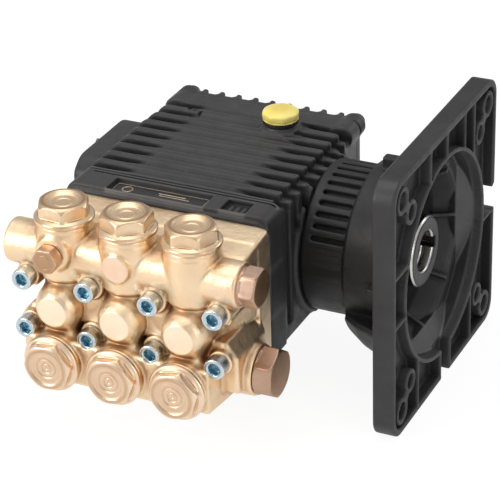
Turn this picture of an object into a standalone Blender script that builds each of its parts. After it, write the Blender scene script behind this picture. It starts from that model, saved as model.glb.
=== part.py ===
"""Triplex plunger pump with a square engine flange.

Frame: origin at the middle of the crankcase's flat underside, straight below
the crankshaft and the middle cylinder. +X runs along the crankshaft to the
engine flange, -Y is the front, with the brass manifold, and +Z is up.
Numbers are millimetres and are turned into metres when a mesh is made.
"""

import math

import bmesh
import bpy
from mathutils import Matrix, Vector

for old in list(bpy.data.objects):
    bpy.data.objects.remove(old, do_unlink=True)

# --------------------------------------------------------- shared dimensions
MM = 0.001
DETAIL = 0.6                  # facets of round shapes, against full detail
SHARP_ANGLE = 35              # degrees, above which an edge is shaded sharp
GAP = 0.3                     # clearance between resting neighbours
OVER = 9.0                    # usual overshoot of a cutter
REACH = 20.0                  # long overshoot of a cutter

PITCH = 41.0                  # cylinder spacing along the crankshaft
CYL_X = (-PITCH, 0.0, PITCH)
AXIS_Z = 44.0                 # crankshaft and plungers above the base
SHAFT = (0.0, AXIS_Z)         # crankshaft axis in (y, z)
JOINT_Y = -84.5               # where manifold and crankcase meet
FLANGE_X = 68.0               # half width of the joint's flanges

CASE_BACK = 58.0              # rear face of the crankcase
COVER_X = 62.0                # half width at the rear cover
COVER_Y = CASE_BACK + GAP     # front face of the rear cover
EAR_X, EAR_Z, EAR_R = 57.5, 86.5, 7.5   # upper corner ears at the rear cover
DRAIN = (30.0, 17.0)          # drain plug in (x, z)
SIGHT = (0.0, AXIS_Z)         # sight glass in (x, z)
FILLER = (22.0, 33.0)         # oil filler in (x, y)
FILLER_TOP = 96.0
LEFT_END = -88.0              # end of the left bearing housing

SCREW_X = (-61.5, -20.5, 20.5, 61.5)
SCREW_Z = (60.0, 28.0)
SCREWS = [(x, z) for z in SCREW_Z for x in SCREW_X]
HEAD_Y = -149.0               # front of the screw heads
HEAD_H = 8.0


# ----------------------------------------------------------------- materials
def material(name, colour, roughness, metallic):
    mat = bpy.data.materials.new(name)
    mat.use_nodes = True
    inputs = mat.node_tree.nodes["Principled BSDF"].inputs
    inputs["Base Color"].default_value = (*colour, 1.0)
    inputs["Roughness"].default_value = roughness
    inputs["Metallic"].default_value = metallic
    mat.diffuse_color = (*colour, 1.0)
    return mat


def black(name):
    return material(name, colour=(0.035, 0.035, 0.037), roughness=0.42, metallic=0.0)


def brass(name):
    return material(name, colour=(0.80, 0.58, 0.33), roughness=0.30, metallic=1.0)


def bronze(name):
    return material(name, colour=(0.46, 0.28, 0.16), roughness=0.34, metallic=1.0)


def steel(name):
    return material(name, colour=(0.55, 0.55, 0.56), roughness=0.28, metallic=1.0)


def zinc(name):
    return material(name, colour=(0.66, 0.72, 0.76), roughness=0.25, metallic=1.0)


def rod_metal(name):
    return material(name, colour=(0.62, 0.62, 0.63), roughness=0.4, metallic=1.0)


def crosshead_metal(name):
    return material(name, colour=(0.66, 0.66, 0.68), roughness=0.3, metallic=1.0)


def ceramic(name):
    return material(name, colour=(0.86, 0.84, 0.78), roughness=0.22, metallic=0.0)


def rubber(name):
    return material(name, colour=(0.03, 0.03, 0.03), roughness=0.7, metallic=0.0)


def yellow(name):
    return material(name, colour=(0.90, 0.72, 0.03), roughness=0.38, metallic=0.0)


def clear(name):
    return material(name, colour=(0.75, 0.72, 0.62), roughness=0.12, metallic=0.0)


# ------------------------------------------------------------------ outlines
def sides(count):
    """Facets of a round shape asked to have count of them at full detail."""
    return max(8, 2 * int(count * DETAIL / 2 + 0.5))


def circle(centre, radius, count, turn=0.0):
    angles = [turn + 2 * math.pi * i / count for i in range(count)]
    return [(centre[0] + radius * math.cos(t), centre[1] + radius * math.sin(t)) for t in angles]


def hexagon(centre, across_flats, degrees=0.0):
    return circle(centre, across_flats / math.sqrt(3.0), 6, math.radians(degrees))


def rounded(half_u, half_v, radius, steps, centre):
    """Rectangle with rounded corners of so many steps each."""
    points = []
    for quarter, (su, sv) in enumerate(((1, 1), (-1, 1), (-1, -1), (1, -1))):
        for i in range(steps + 1):
            angle = math.pi / 2 * (quarter + i / steps)
            points.append((
                centre[0] + su * (half_u - radius) + radius * math.cos(angle),
                centre[1] + sv * (half_v - radius) + radius * math.sin(angle),
            ))
    return points


def stepped(start, *steps):
    """Lathe profile of coaxial cylinders, each step being (radius, end)."""
    profile = [(start, 0)]
    for radius, end in steps:
        profile += [(start, radius), (end, radius)]
        start = end
    return profile + [(start, 0)]


# -------------------------------------------------------------------- meshes
def place(axis, along, across):
    """The (x, y, z) of a point from its place along an axis and across it."""
    first, second = across
    if axis == "X":
        return (along, first, second)
    if axis == "Y":
        return (first, along, second)
    return (first, second, along)


def new_vert(bm, axis, along, across):
    return bm.verts.new([value * MM for value in place(axis, along, across)])


def to_object(bm):
    mesh = bpy.data.meshes.new("part")
    bm.to_mesh(mesh)
    bm.free()
    ob = bpy.data.objects.new("part", mesh)
    bpy.context.scene.collection.objects.link(ob)
    return ob


def cleaned(bm):
    bmesh.ops.remove_doubles(bm, verts=bm.verts, dist=1e-7)
    bmesh.ops.recalc_face_normals(bm, faces=bm.faces)
    return to_object(bm)


def bridge(bm, one, two):
    """Faces between two rings of vertices, either of which may be a single point."""
    count = max(len(one), len(two))
    for i in range(count):
        j = (i + 1) % count
        if len(one) == 1:
            bm.faces.new((one[0], two[j], two[i]))
        elif len(two) == 1:
            bm.faces.new((one[i], one[j], two[0]))
        else:
            bm.faces.new((one[i], one[j], two[j], two[i]))


def prism(outline, axis, start, end):
    bm = bmesh.new()
    low = [new_vert(bm, axis, start, point) for point in outline]
    top = [new_vert(bm, axis, end, point) for point in outline]
    bm.faces.new(low)
    bm.faces.new(top)
    bridge(bm, low, top)
    return cleaned(bm)


def cyl(axis, centre, radius, start, end, count=24):
    return prism(circle(centre, radius, sides(count)), axis, start, end)


def box(x0, x1, y0, y1, z0, z1):
    return prism([(x0, y0), (x1, y0), (x1, y1), (x0, y1)], "Z", z0, z1)


def lathe(axis, centre, profile, count):
    """Turn (along, radius) points; the profile ends on the axis or closes on itself."""
    bm = bmesh.new()
    rings = []
    for along, radius in profile:
        points = circle(centre, radius, sides(count)) if radius > 0 else [centre]
        rings.append([new_vert(bm, axis, along, point) for point in points])
    pairs = list(zip(rings, rings[1:]))
    if profile[0][1] > 0 and profile[-1][1] > 0:
        pairs.append((rings[-1], rings[0]))
    for one, two in pairs:
        bridge(bm, one, two)
    return cleaned(bm)


def joined(shapes):
    """Disjoint helper shapes as one mesh."""
    bm = bmesh.new()
    for shape in shapes:
        bm.from_mesh(shape.data)
        bpy.data.objects.remove(shape, do_unlink=True)
    return to_object(bm)


def boolean(ob, helper, operation):
    helper.hide_render = True
    mod = ob.modifiers.new("cut", "BOOLEAN")
    mod.operation = operation
    mod.solver = "EXACT"
    mod.object = helper
    graph = bpy.context.evaluated_depsgraph_get()
    made = bpy.data.meshes.new_from_object(ob.evaluated_get(graph))
    ob.modifiers.clear()
    ob.data = made
    bpy.data.objects.remove(helper, do_unlink=True)


def add(ob, *helpers):
    for helper in helpers:
        boolean(ob, helper, "UNION")


def cut(ob, *helpers):
    for helper in helpers:
        boolean(ob, helper, "DIFFERENCE")


def done(ob, name, mat, origin=(0.0, 0.0, 0.0)):
    """Name and colour a finished part, with its own origin at a point in millimetres."""
    at = Vector(origin) * MM
    ob.data.transform(Matrix.Translation(-at))
    ob.location = at
    ob.name = name
    ob.data.name = name
    ob.data.materials.clear()
    ob.data.materials.append(mat)
    for polygon in ob.data.polygons:
        polygon.material_index = 0
    ob.data.shade_smooth()
    ob.data.set_sharp_from_angle(angle=math.radians(SHARP_ANGLE))


# ----------------------------------------------------------------- crankcase
CASE_X = 66.0                 # half width of the finned body
CASE_TOP = 90.0               # top of the front flange
FIN_TOP = CASE_TOP + 3
CASE_FRONT = JOINT_Y + GAP
FLANGE_T = 22.0               # thickness of the front flange
CAVITY_X = 56.0
CAVITY_FRONT = -62.0
CAVITY_LOW, CAVITY_HIGH = 8.0, 80.0
FIN_PITCH = 12.0
GROOVE_W = 6.5
GROOVE_Y = [-55.0 + FIN_PITCH * i for i in range(9)]
CASE_PLAN = (                 # (x, y)
    (-CASE_X, CASE_FRONT + 2), (CASE_X + 1, CASE_FRONT + 2), (CASE_X, 10),
    (COVER_X, CASE_BACK), (-COVER_X, CASE_BACK), (-CASE_X, 10),
)
LEFT_HOUSING = (              # (y, z)
    (-38, 8), (38, 8), (38, 74), (28, 82), (-28, 82), (-38, 74),
)
CROSSHEAD_BORE_R = 13.0
RIGHT_BORE_R, LEFT_BORE_R = 38.0, 31.3
FILLER_R, FILLER_BORE_R = 11.0, 8.0
SCREW_HOLE_R = 4.3


def groove(y, x0, x1, floor):
    """Cutter for one groove between fins, open at the top."""
    return box(x0, x1, y - GROOVE_W / 2, y + GROOVE_W / 2, floor, CASE_TOP + OVER)


def build_crankcase():
    body = prism(CASE_PLAN, "Z", 0, FIN_TOP)
    add(
        body,
        box(-FLANGE_X, FLANGE_X, CASE_FRONT, CASE_FRONT + FLANGE_T, 0, CASE_TOP),
        prism(LEFT_HOUSING, "X", LEFT_END, -CASE_X + 4),
    )
    # the top grooves are deep at both ends and shallow between
    deep = []
    for y in GROOVE_Y:
        deep.append(groove(y, -CASE_X - 5, -45, CASE_TOP - 6.5))
        deep.append(groove(y, 40, CASE_X + 5, CASE_TOP - 6.5))
    cut(body, joined(deep), joined([groove(y, -46, 41, CASE_TOP + 1.2) for y in GROOVE_Y]))
    # vertical fins on the side towards the engine; the front groove runs lower
    # only where it clears the right bore
    side = [
        groove(y, CASE_X - 3, CASE_X + OVER, 66 if y > -46 else 8) for y in GROOVE_Y[:-1]
    ]
    cut(body, joined(side))
    for x in (-EAR_X, EAR_X):
        add(body, cyl("Y", (x, EAR_Z), EAR_R, CASE_BACK - 14, CASE_BACK, 16))
    cut(
        body,
        box(-CAVITY_X, CAVITY_X, CAVITY_FRONT, CASE_BACK + OVER, CAVITY_LOW, CAVITY_HIGH),
        joined([
            cyl("Y", (x, AXIS_Z), CROSSHEAD_BORE_R, CASE_FRONT - OVER, CAVITY_FRONT + OVER, 28)
            for x in CYL_X
        ]),
        cyl("X", SHAFT, RIGHT_BORE_R, CAVITY_X - 6, CASE_X + OVER, 36),
        cyl("X", SHAFT, LEFT_BORE_R, LEFT_END - OVER, -CAVITY_X + 6, 36),
    )
    add(body, cyl("Z", FILLER, FILLER_R, CASE_TOP - 3, FILLER_TOP, 20))
    cut(body, cyl("Z", FILLER, FILLER_BORE_R, CAVITY_HIGH - OVER, CASE_TOP + 19, 20))
    cut(body, joined([
        cyl("Y", centre, SCREW_HOLE_R, CASE_FRONT - OVER, CASE_FRONT + 18, 12)
        for centre in SCREWS
    ]))
    done(body, "crankcase", black("crankcase_black"))


# ---------------------------------------------------------------- rear cover
COVER_T = 7.0
RIB_PITCH = 11.9
RIB_HALF = 1.8                # half thickness of a rib
LOW_EAR_Z = 8.5
SIGHT_HOLE_R, DRAIN_HOLE_R = 10.0, 6.0


def build_rear_cover():
    ob = prism(rounded(COVER_X, 45.5, 8, 2, (0, 46)), "Y", COVER_Y, COVER_Y + COVER_T)
    for i in range(9):
        x = (i - 4) * RIB_PITCH
        add(ob, box(x - RIB_HALF, x + RIB_HALF, COVER_Y + 4, COVER_Y + 12, 6, 91))
    for x in (-EAR_X, EAR_X):
        for z in (LOW_EAR_Z, EAR_Z):
            add(ob, cyl("Y", (x, z), EAR_R, COVER_Y, COVER_Y + 9, 16))
    cut(
        ob,
        cyl("Y", SIGHT, SIGHT_HOLE_R, COVER_Y - OVER, COVER_Y + REACH),
        cyl("Y", DRAIN, DRAIN_HOLE_R, COVER_Y - OVER, COVER_Y + REACH, 16),
    )
    done(ob, "rear_cover", black("cover_black"))


# ------------------------------------------------------------- engine flange
FACE_X = 145.0                # engine flange face
PLATE_BACK = FACE_X - 13.4
PLATE_HALF = 84.3
PLATE_CORNER = 13.0
NECK_X = 69.3                 # left end of the neck
RING_R = 63.0                 # nominal bore of the bell at the face
POCKET_RING_R = 73.005        # circle the round pockets stand on
POCKET_R = 5.2
POCKET_OFF = 0.52             # radians either side of a diagonal
BOLT_HOLES = ((69.6, 5.7), (56.3, 4.9))   # (half spacing, radius)
# Lathe profiles, (x, radius).
BELL_END = ((PLATE_BACK + 4, 71.0), (PLATE_BACK + 4, 0))
BELL = (
    (NECK_X, 0), (NECK_X, 47.0), (97.0, 47.0), (99.0, 51.5), (120.0, 53.5), *BELL_END,
)
SUMP = (                      # wider bottom of the bell
    (90, 0), (90, 44.0), (96.0, 46.0), (100.0, 57.5), (110.0, 64.0), (120.0, 68.0), *BELL_END,
)
SUMP_TOP = AXIS_Z - 24
BELL_INSIDE = (
    (NECK_X - 20, 0), (NECK_X - 20, 29), (74, 29), (74, 34.2), (89.6, 34.2), (89.6, 26.2),
    (104, 26.2), (104, 47), (120, 50), (FACE_X - 7, RING_R - 2),
    (FACE_X + OVER, RING_R - 1), (FACE_X + OVER, 0),
)
SPIGOT_R = 37.6               # enters the crankcase's right bore
NOTCH = (                     # (y, z), in the rear edge of the plate
    (PLATE_HALF + 5, 64), (PLATE_HALF + 5, 38.4),
    (PLATE_HALF - 6.5, 38.4), (PLATE_HALF - 6.5, 56),
)


def build_engine_flange():
    outline = rounded(PLATE_HALF, PLATE_HALF, PLATE_CORNER, 4, SHAFT)
    ob = prism(outline, "X", PLATE_BACK, FACE_X)
    sump = lathe("X", SHAFT, SUMP, 44)
    cut(sump, box(0, 200, -100, 100, SUMP_TOP, 200))
    add(ob, lathe("X", SHAFT, BELL, 44), sump)
    add(ob, cyl("X", SHAFT, SPIGOT_R, NECK_X - 7, NECK_X + 3, 36))
    cut(ob, lathe("X", SHAFT, BELL_INSIDE, 48))
    # round pockets in the face, either side of each diagonal
    pockets = []
    for quarter in range(4):
        for off in (-POCKET_OFF, POCKET_OFF):
            angle = math.pi / 4 + quarter * math.pi / 2 + off
            y = POCKET_RING_R * math.cos(angle)
            z = AXIS_Z + POCKET_RING_R * math.sin(angle)
            pockets.append(cyl("X", (y, z), POCKET_R, FACE_X - 9, FACE_X + OVER, 10))
    cut(ob, joined(pockets))
    cut(ob, joined([
        cyl("X", (s * half, AXIS_Z + t * half), radius, PLATE_BACK - OVER, FACE_X + OVER, 16)
        for half, radius in BOLT_HOLES for s in (-1, 1) for t in (-1, 1)
    ]))
    # drain channel at the bottom
    cut(ob, box(FACE_X - 7, FACE_X + OVER, -5, 8, -60, AXIS_Z - RING_R + 4))
    cut(ob, prism(NOTCH, "X", PLATE_BACK - OVER, FACE_X + OVER))
    done(ob, "engine_flange", black("flange_black"))


# ------------------------------------------------------------ rotating parts
THROW = 3.0                   # half the plunger stroke
CRANK_ANGLES = (90.0, 210.0, 330.0)
ECC_R = 23.5                  # eccentrics
ECC_HALF = 8.0                # half width of an eccentric
HOLLOW_R = 12.75
HUB_END = 132.0
SHAFT_PROFILE = (             # (x, radius)
    (-84, 0), (-84, 14.4), (-83, 15.0), (-60, 15.0), (-60, 20.0), (104.5, 20.0), (104.5, 19.0),
    (HUB_END - 1, 19.0), (HUB_END, 18.0), (HUB_END, HOLLOW_R), (72, HOLLOW_R), (70, 0),
)
SLOT_HALF = 3.2               # half width of the slot above the hollow


def rest_offset(i):
    """How far a plunger at rest stands in +Y of the middle of its stroke."""
    return THROW * math.cos(math.radians(CRANK_ANGLES[i]))


def throw_centre(i):
    return rest_offset(i), AXIS_Z + THROW * math.sin(math.radians(CRANK_ANGLES[i]))


def build_crankshaft():
    ob = lathe("X", SHAFT, SHAFT_PROFILE, 36)
    for i, x in enumerate(CYL_X):
        add(ob, cyl("X", throw_centre(i), ECC_R, x - ECC_HALF, x + ECC_HALF, 36))
    cut(ob, box(78, HUB_END + OVER, -SLOT_HALF, SLOT_HALF, AXIS_Z + 6, AXIS_Z + HOLLOW_R + 2.9))
    done(ob, "crankshaft", steel("shaft_steel"), (0, *SHAFT))


def build_bearing(name, x0, x1, inner, outer):
    """Plain ring with a groove in each end face."""
    low, high = (inner + outer) / 2 - 3, (inner + outer) / 2 + 3
    depth = 1.6
    profile = [
        (x0, inner), (x0, low), (x0 + depth, low), (x0 + depth, high), (x0, high), (x0, outer),
        (x1, outer), (x1, high), (x1 - depth, high), (x1 - depth, low), (x1, low), (x1, inner),
    ]
    done(lathe("X", SHAFT, profile, 36), name, steel(name + "_steel"))


def build_seal():
    profile = [(92, 20.3), (92, 25.9), (100, 25.9), (100, 23.5), (94.5, 23.5), (94.5, 20.3)]
    done(lathe("X", SHAFT, profile, 36), "shaft_seal", rubber("seal_rubber"))


# ------------------------------------------------------------- sliding parts
ROD_LEN = 48.0                # throw centre to wrist pin
BIG_END_R, BIG_END_HALF = 29.5, 6.5
ROD_HALF = 4.8                # half thickness of shank and small end
SHANK_HALF = 7.0              # half height of the shank
EYE = (9.5, 6.4)              # half length and half height of the small end's eye
EYE_WALL = 2.8
PIN_R, PIN_HALF = 3.0, 11.6
CROSSHEAD_R = 12.7
PLUNGER_R = 9.0
SLIDE_Y = -60.0               # origin of the sliding parts


def eye_outline(centre, wall):
    half_y, half_z = EYE[0] + wall, EYE[1] + wall
    return rounded(half_y, half_z, half_z - 0.2, 4, centre)


def build_rod(i):
    x = CYL_X[i]
    y, z = throw = throw_centre(i)
    eye = (y - ROD_LEN, z)
    ob = cyl("X", throw, BIG_END_R, x - BIG_END_HALF, x + BIG_END_HALF, 36)
    add(
        ob,
        box(x - ROD_HALF, x + ROD_HALF, eye[0] + 4, y - 20, z - SHANK_HALF, z + SHANK_HALF),
        prism(eye_outline(eye, EYE_WALL), "X", x - ROD_HALF, x + ROD_HALF),
    )
    cut(
        ob,
        prism(eye_outline(eye, 0), "X", x - REACH, x + REACH),
        cyl("X", throw, ECC_R + GAP, x - REACH, x + REACH, 36),
    )
    done(ob, f"con_rod_{i + 1}", rod_metal(f"rod_{i + 1}"), (x, y, z))


def build_crosshead(i):
    x, shift = CYL_X[i], rest_offset(i)
    ob = cyl("Y", (x, AXIS_Z), CROSSHEAD_R, -80.5 + shift, -41 + shift, 32)
    cut(
        ob,
        box(x - 5.4, x + 5.4, -68 + shift, 0, 0, 100),    # slot for the rod
        cyl("X", (-ROD_LEN + shift, AXIS_Z), PIN_R + GAP, x - REACH, x + REACH, 20),
        cyl("Y", (x, AXIS_Z), 4.0, -90 + shift, -72 + shift, 16),    # plunger's tail
    )
    mat = crosshead_metal(f"crosshead_{i + 1}")
    done(ob, f"crosshead_{i + 1}", mat, (x, SLIDE_Y, AXIS_Z))


def build_pin(i):
    x = CYL_X[i]
    centre = (-ROD_LEN + rest_offset(i), AXIS_Z)
    ob = cyl("X", centre, PIN_R, x - PIN_HALF, x + PIN_HALF, 18)
    done(ob, f"wrist_pin_{i + 1}", steel(f"pin_{i + 1}"), (x, SLIDE_Y, AXIS_Z))


def build_plunger(i):
    x, shift = CYL_X[i], rest_offset(i)
    tip, shoulder, tail = -121 + shift, -81 + shift, -73 + shift
    profile = [
        (tip, 0), (tip, PLUNGER_R - 1), (-120 + shift, PLUNGER_R), (shoulder, PLUNGER_R),
        (shoulder, 3.7), (tail, 3.7), (tail, 0),
    ]
    ob = lathe("Y", (x, AXIS_Z), profile, 28)
    done(ob, f"plunger_{i + 1}", ceramic(f"ceramic_{i + 1}"), (x, SLIDE_Y, AXIS_Z))


# ------------------------------------------------------------------ manifold
PLATE_Y = -100.0              # front of the manifold's rear plate
BOSS_BACK = PLATE_Y + 4       # where the front bosses end inside the plate
MANIFOLD_TOP = 87.8
BLOCK_X = 57.0                # half width of the block before the plate
BARREL_Y = -129.0             # discharge valve axis
BARREL_R = 16.5
BARREL_TOP = 93.0
INLET_Z = 12.5                # inlet valve axis
INLET_FACE = -151.0
OUT_GALLERY = (BARREL_Y, 75.0)          # (y, z)
IN_GALLERY_Y = -115.0
IN_GALLERY = (IN_GALLERY_Y, INLET_Z)    # (y, z)
GAUGE = (-PITCH, 80.0)        # gauge port in (x, z)
GAUGE_FACE = -147.6
DISC_Y = -151.0               # flat discs at plunger height
DISC = (                      # (y, radius)
    (DISC_Y, 0), (DISC_Y, 8), (DISC_Y + 2.2, 11.2), (DISC_Y + 8, 13.6), (DISC_Y + 14, 14.2),
    (BOSS_BACK, 16.5), (BOSS_BACK, 0),
)
# Stepped bores: start, then (radius, end) of each step.
DISCHARGE_BORE = stepped(AXIS_Z, (8, 58), (11.6, 84), (13.3, BARREL_TOP + OVER))
PLUNGER_BORE = stepped(-138, (9.4, JOINT_Y - 6), (13, JOINT_Y + OVER))
INLET_BORE = stepped(INLET_FACE - OVER, (13.3, -142), (11.6, -122), (8, IN_GALLERY_Y))
OUT_GALLERY_BORE = stepped(-90, (9.5, -64), (6.5, 61), (9.3, 90))
IN_GALLERY_BORE = stepped(-90, (11, -62), (8, 62), (10.3, 90))


def add_manifold_bosses(ob):
    for x in CYL_X:
        add(
            ob,
            cyl("Z", (x, BARREL_Y), BARREL_R, 40, BARREL_TOP, 28),
            cyl("Y", (x, INLET_Z), BARREL_R + 1.0, INLET_FACE, BOSS_BACK, 28),
            lathe("Y", (x, AXIS_Z), DISC, 24),
        )
    for x in SCREW_X:
        radius = 8.2 if abs(x) < 50 else 6.6
        for z in SCREW_Z:
            add(ob, cyl("Y", (x, z), radius, HEAD_Y + HEAD_H + GAP, BOSS_BACK, 16))
    add(
        ob,
        cyl("X", OUT_GALLERY, 13.5, -76, 72.6),
        cyl("X", IN_GALLERY, 15.5, -74, 75.6),
        cyl("Y", (0, 78.0), 7.7, -146.6, BARREL_Y, 20),
        cyl("Y", GAUGE, 9.0, GAUGE_FACE, BARREL_Y, 20),
    )


def cut_manifold_bores(ob):
    for x in CYL_X:
        cut(
            ob,
            lathe("Z", (x, BARREL_Y), DISCHARGE_BORE, 24),
            lathe("Y", (x, AXIS_Z), PLUNGER_BORE, 24),
            lathe("Y", (x, INLET_Z), INLET_BORE, 24),
            cyl("Z", (x, -134.5), 5.5, INLET_Z, AXIS_Z, 14),    # inlet to plunger
        )
    cut(
        ob,
        joined([
            cyl("Y", (x, z), 4.6, HEAD_Y - 5, JOINT_Y + OVER, 12)
            for x in SCREW_X for z in SCREW_Z
        ]),
        lathe("X", OUT_GALLERY, OUT_GALLERY_BORE, 20),
        lathe("X", IN_GALLERY, IN_GALLERY_BORE, 20),
        cyl("Y", GAUGE, 5.0, -160, BARREL_Y, 16),
    )


def build_manifold():
    half = MANIFOLD_TOP / 2
    ob = prism(rounded(FLANGE_X, half, 8, 3, (0, half)), "Y", PLATE_Y, JOINT_Y)
    add(ob, prism(rounded(BLOCK_X, 38, 8, 2, (0, 46)), "Y", -127, PLATE_Y + 5))
    add(ob, box(-BLOCK_X, BLOCK_X, -139, PLATE_Y + 3, -4, 26))
    add_manifold_bosses(ob)
    cut_manifold_bores(ob)
    done(ob, "manifold", brass("manifold_brass"))


# ---------------------------------------------------------- plugs and screws
COLLAR_R, COLLAR_H = 17.6, 3.2
STEM_R = 12.9
PLUG_HEX = 27.0               # across flats
DIMPLE_R = 8.2                # recess in the hexagon's end
STEM_BORE_R = 7.4
HEAD_R, SHANK_R = 6.5, 4.0
SOCKET_HEX = 6.0              # across flats


def valve_plug(kind, i, axis, centre, collar, stem, head, turn, dimple, bore):
    """Each part's place is a (start, end) along the axis; turn is in degrees."""
    ob = cyl(axis, centre, COLLAR_R, *collar, 28)
    add(ob, cyl(axis, centre, STEM_R, *stem))
    add(ob, prism(hexagon(centre, PLUG_HEX, turn), axis, *head))
    cut(ob, cyl(axis, centre, DIMPLE_R, *dimple, 20))
    cut(ob, cyl(axis, centre, STEM_BORE_R, *bore, 20))
    done(ob, f"{kind}_valve_plug_{i + 1}", brass(f"{kind}_plug_{i + 1}"))


def build_discharge_plug(i):
    z = BARREL_TOP + GAP
    valve_plug(
        "discharge", i, "Z", (CYL_X[i], BARREL_Y),
        collar=(z, z + COLLAR_H), stem=(84.6, z + 1), head=(z + 2, 107.4), turn=8,
        dimple=(104.4, 120), bore=(70, 92.6),
    )


def build_inlet_plug(i):
    y = INLET_FACE - GAP
    valve_plug(
        "inlet", i, "Y", (CYL_X[i], INLET_Z),
        collar=(y - COLLAR_H, y), stem=(y - 1, -142.4), head=(-162, y - 2), turn=20,
        dimple=(-170, -160.2), bore=(-151, -130),
    )


def build_gauge_plug():
    ob = prism(hexagon(GAUGE, 14.0, 15), "Y", -155.6, GAUGE_FACE - GAP)
    add(ob, cyl("Y", GAUGE, 4.7, -149, -139.5, 16))
    done(ob, "gauge_port_plug", bronze("gauge_plug"))


def build_gallery_plug(kind, centre, across_flats, start, stem_radius):
    """Hexagon plug in the right end of a gallery."""
    ob = prism(hexagon(centre, across_flats, 10), "X", start, start + 11.5)
    add(ob, cyl("X", centre, stem_radius, 62.5, start + 1, 20))
    done(ob, f"{kind}_gallery_plug", bronze(f"{kind}_plug"))


def build_screw(k):
    centre = SCREWS[k]
    ob = cyl("Y", centre, HEAD_R, HEAD_Y, HEAD_Y + HEAD_H, 20)
    add(ob, cyl("Y", centre, SHANK_R, HEAD_Y + HEAD_H - 1, -69, 14))
    cut(ob, prism(hexagon(centre, SOCKET_HEX), "Y", HEAD_Y - OVER, HEAD_Y + 4.5))
    done(ob, f"manifold_screw_{k + 1}", zinc(f"screw_{k + 1}"))


# -------------------------------------------------------------------- valves
SEAT_PROFILE = ((-7.0, 5.2), (-7.0, 11.3), (0, 11.3), (0, 7.4), (-1.6, 5.2))
POPPET_PROFILE = (            # (lift from the seat, radius), as for the seat
    (-1.0, 0), (-1.0, 5.4), (0.55, 7.4), (2.2, 7.4), (2.2, 3.0), (7.0, 2.6), (7.0, 0),
)
SPRING_R, WIRE_R = 5.2, 0.6
SPRING_FOOT = 2.5             # first coil's underside above the seat
TURNS, TURN_STEPS, WIRE_SIDES = 4, 9, 4


def spring(axis, centre, start, end):
    bm = bmesh.new()
    steps = TURNS * TURN_STEPS
    rings = []
    for k in range(steps + 1):
        part = k / steps
        angle = 2 * math.pi * TURNS * part
        ring = []
        for j in range(WIRE_SIDES):
            around = 2 * math.pi * j / WIRE_SIDES
            radius = SPRING_R + WIRE_R * math.cos(around)
            along = start + (end - start) * part + WIRE_R * math.sin(around)
            across = (centre[0] + radius * math.cos(angle), centre[1] + radius * math.sin(angle))
            ring.append(new_vert(bm, axis, along, across))
        rings.append(ring)
    for one, two in zip(rings, rings[1:]):
        bridge(bm, one, two)
    bm.faces.new(rings[0])
    bm.faces.new(rings[-1])
    return cleaned(bm)


def build_valve(kind, i, axis, centre, seat, side, length):
    """Seat, poppet and spring; side is the way the poppet lifts along the axis."""
    def turned(profile, count):
        return lathe(axis, centre, [(seat + side * a, r) for a, r in profile], count)

    def finish(ob, part, *origin):
        name = f"{kind}_{part}_{i + 1}"
        done(ob, name, steel(name), *origin)

    origin = place(axis, seat, centre)
    finish(turned(SEAT_PROFILE, 24), "seat")
    finish(turned(POPPET_PROFILE, 20), "poppet", origin)
    start = seat + side * (SPRING_FOOT + WIRE_R)
    finish(spring(axis, centre, start, seat + side * length), "spring", origin)


# --------------------------------------------------------------- small parts
def build_oil_cap():
    z = FILLER_TOP + GAP
    dome = [(z + 5, 0), (z + 5, 10.6), (z + 8, 9.2), (z + 9.6, 6.5), (z + 9.6, 0)]
    ob = cyl("Z", FILLER, 11.5, z, z + 5.5, 16)
    add(
        ob,
        lathe("Z", FILLER, dome, 16),
        cyl("Z", FILLER, 7.6, 83.5, z + 1, 20),    # stem
        cyl("Z", FILLER, 1.6, 24, 84, 10),         # thin rod below it
    )
    done(ob, "oil_cap", yellow("oil_cap_yellow"), (*FILLER, z))


def build_sight_glass():
    ob = cyl("Y", SIGHT, 9.7, COVER_Y + 2, COVER_Y + 13)
    add(ob, cyl("Y", SIGHT, 12.2, COVER_Y + 12.3, COVER_Y + 15.5))
    cut(ob, cyl("Y", SIGHT, 7.0, COVER_Y + 14, COVER_Y + 30, 20))
    done(ob, "sight_glass", clear("sight_clear"))


def build_drain_plug():
    ob = cyl("Y", DRAIN, 5.7, COVER_Y - 4, COVER_Y + 9.5, 16)
    add(ob, prism(hexagon(DRAIN, 12.0), "Y", COVER_Y + 12.4, COVER_Y + 18))
    add(ob, cyl("Y", DRAIN, 5.7, COVER_Y + 9, COVER_Y + 13, 16))
    done(ob, "drain_plug", zinc("drain_zinc"))


def build_left_cover():
    outer, inner = LEFT_END - 2.5, LEFT_END - GAP
    profile = [
        (outer, 0), (outer, 34), (LEFT_END - 1, 35.5), (inner, 35.5), (inner, 31.0),
        (-85.5, 31.0), (-85.5, 0),
    ]
    done(lathe("X", SHAFT, profile, 36), "bearing_cover", black("bearing_cover_black"))


def main():
    build_crankcase()
    build_rear_cover()
    build_engine_flange()
    build_crankshaft()
    build_bearing("bearing_left", x0=-82, x1=-66, inner=15.3, outer=31.0)
    build_bearing("bearing_right", x0=74.3, x1=89.3, inner=20.3, outer=33.9)
    build_seal()
    build_manifold()
    for i, x in enumerate(CYL_X):
        build_rod(i)
        build_crosshead(i)
        build_pin(i)
        build_plunger(i)
        build_discharge_plug(i)
        build_inlet_plug(i)
        build_valve("discharge", i, "Z", (x, BARREL_Y), seat=66.0, side=1, length=23.4)
        build_valve("inlet", i, "Y", (x, INLET_Z), seat=-129.6, side=-1, length=18.2)
    build_gauge_plug()
    build_gallery_plug("outlet", OUT_GALLERY, across_flats=24.0, start=73.0, stem_radius=9.0)
    build_gallery_plug("inlet", IN_GALLERY, across_flats=27.0, start=76.0, stem_radius=10.0)
    for k in range(len(SCREWS)):
        build_screw(k)
    build_oil_cap()
    build_sight_glass()
    build_drain_plug()
    build_left_cover()


main()
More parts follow.
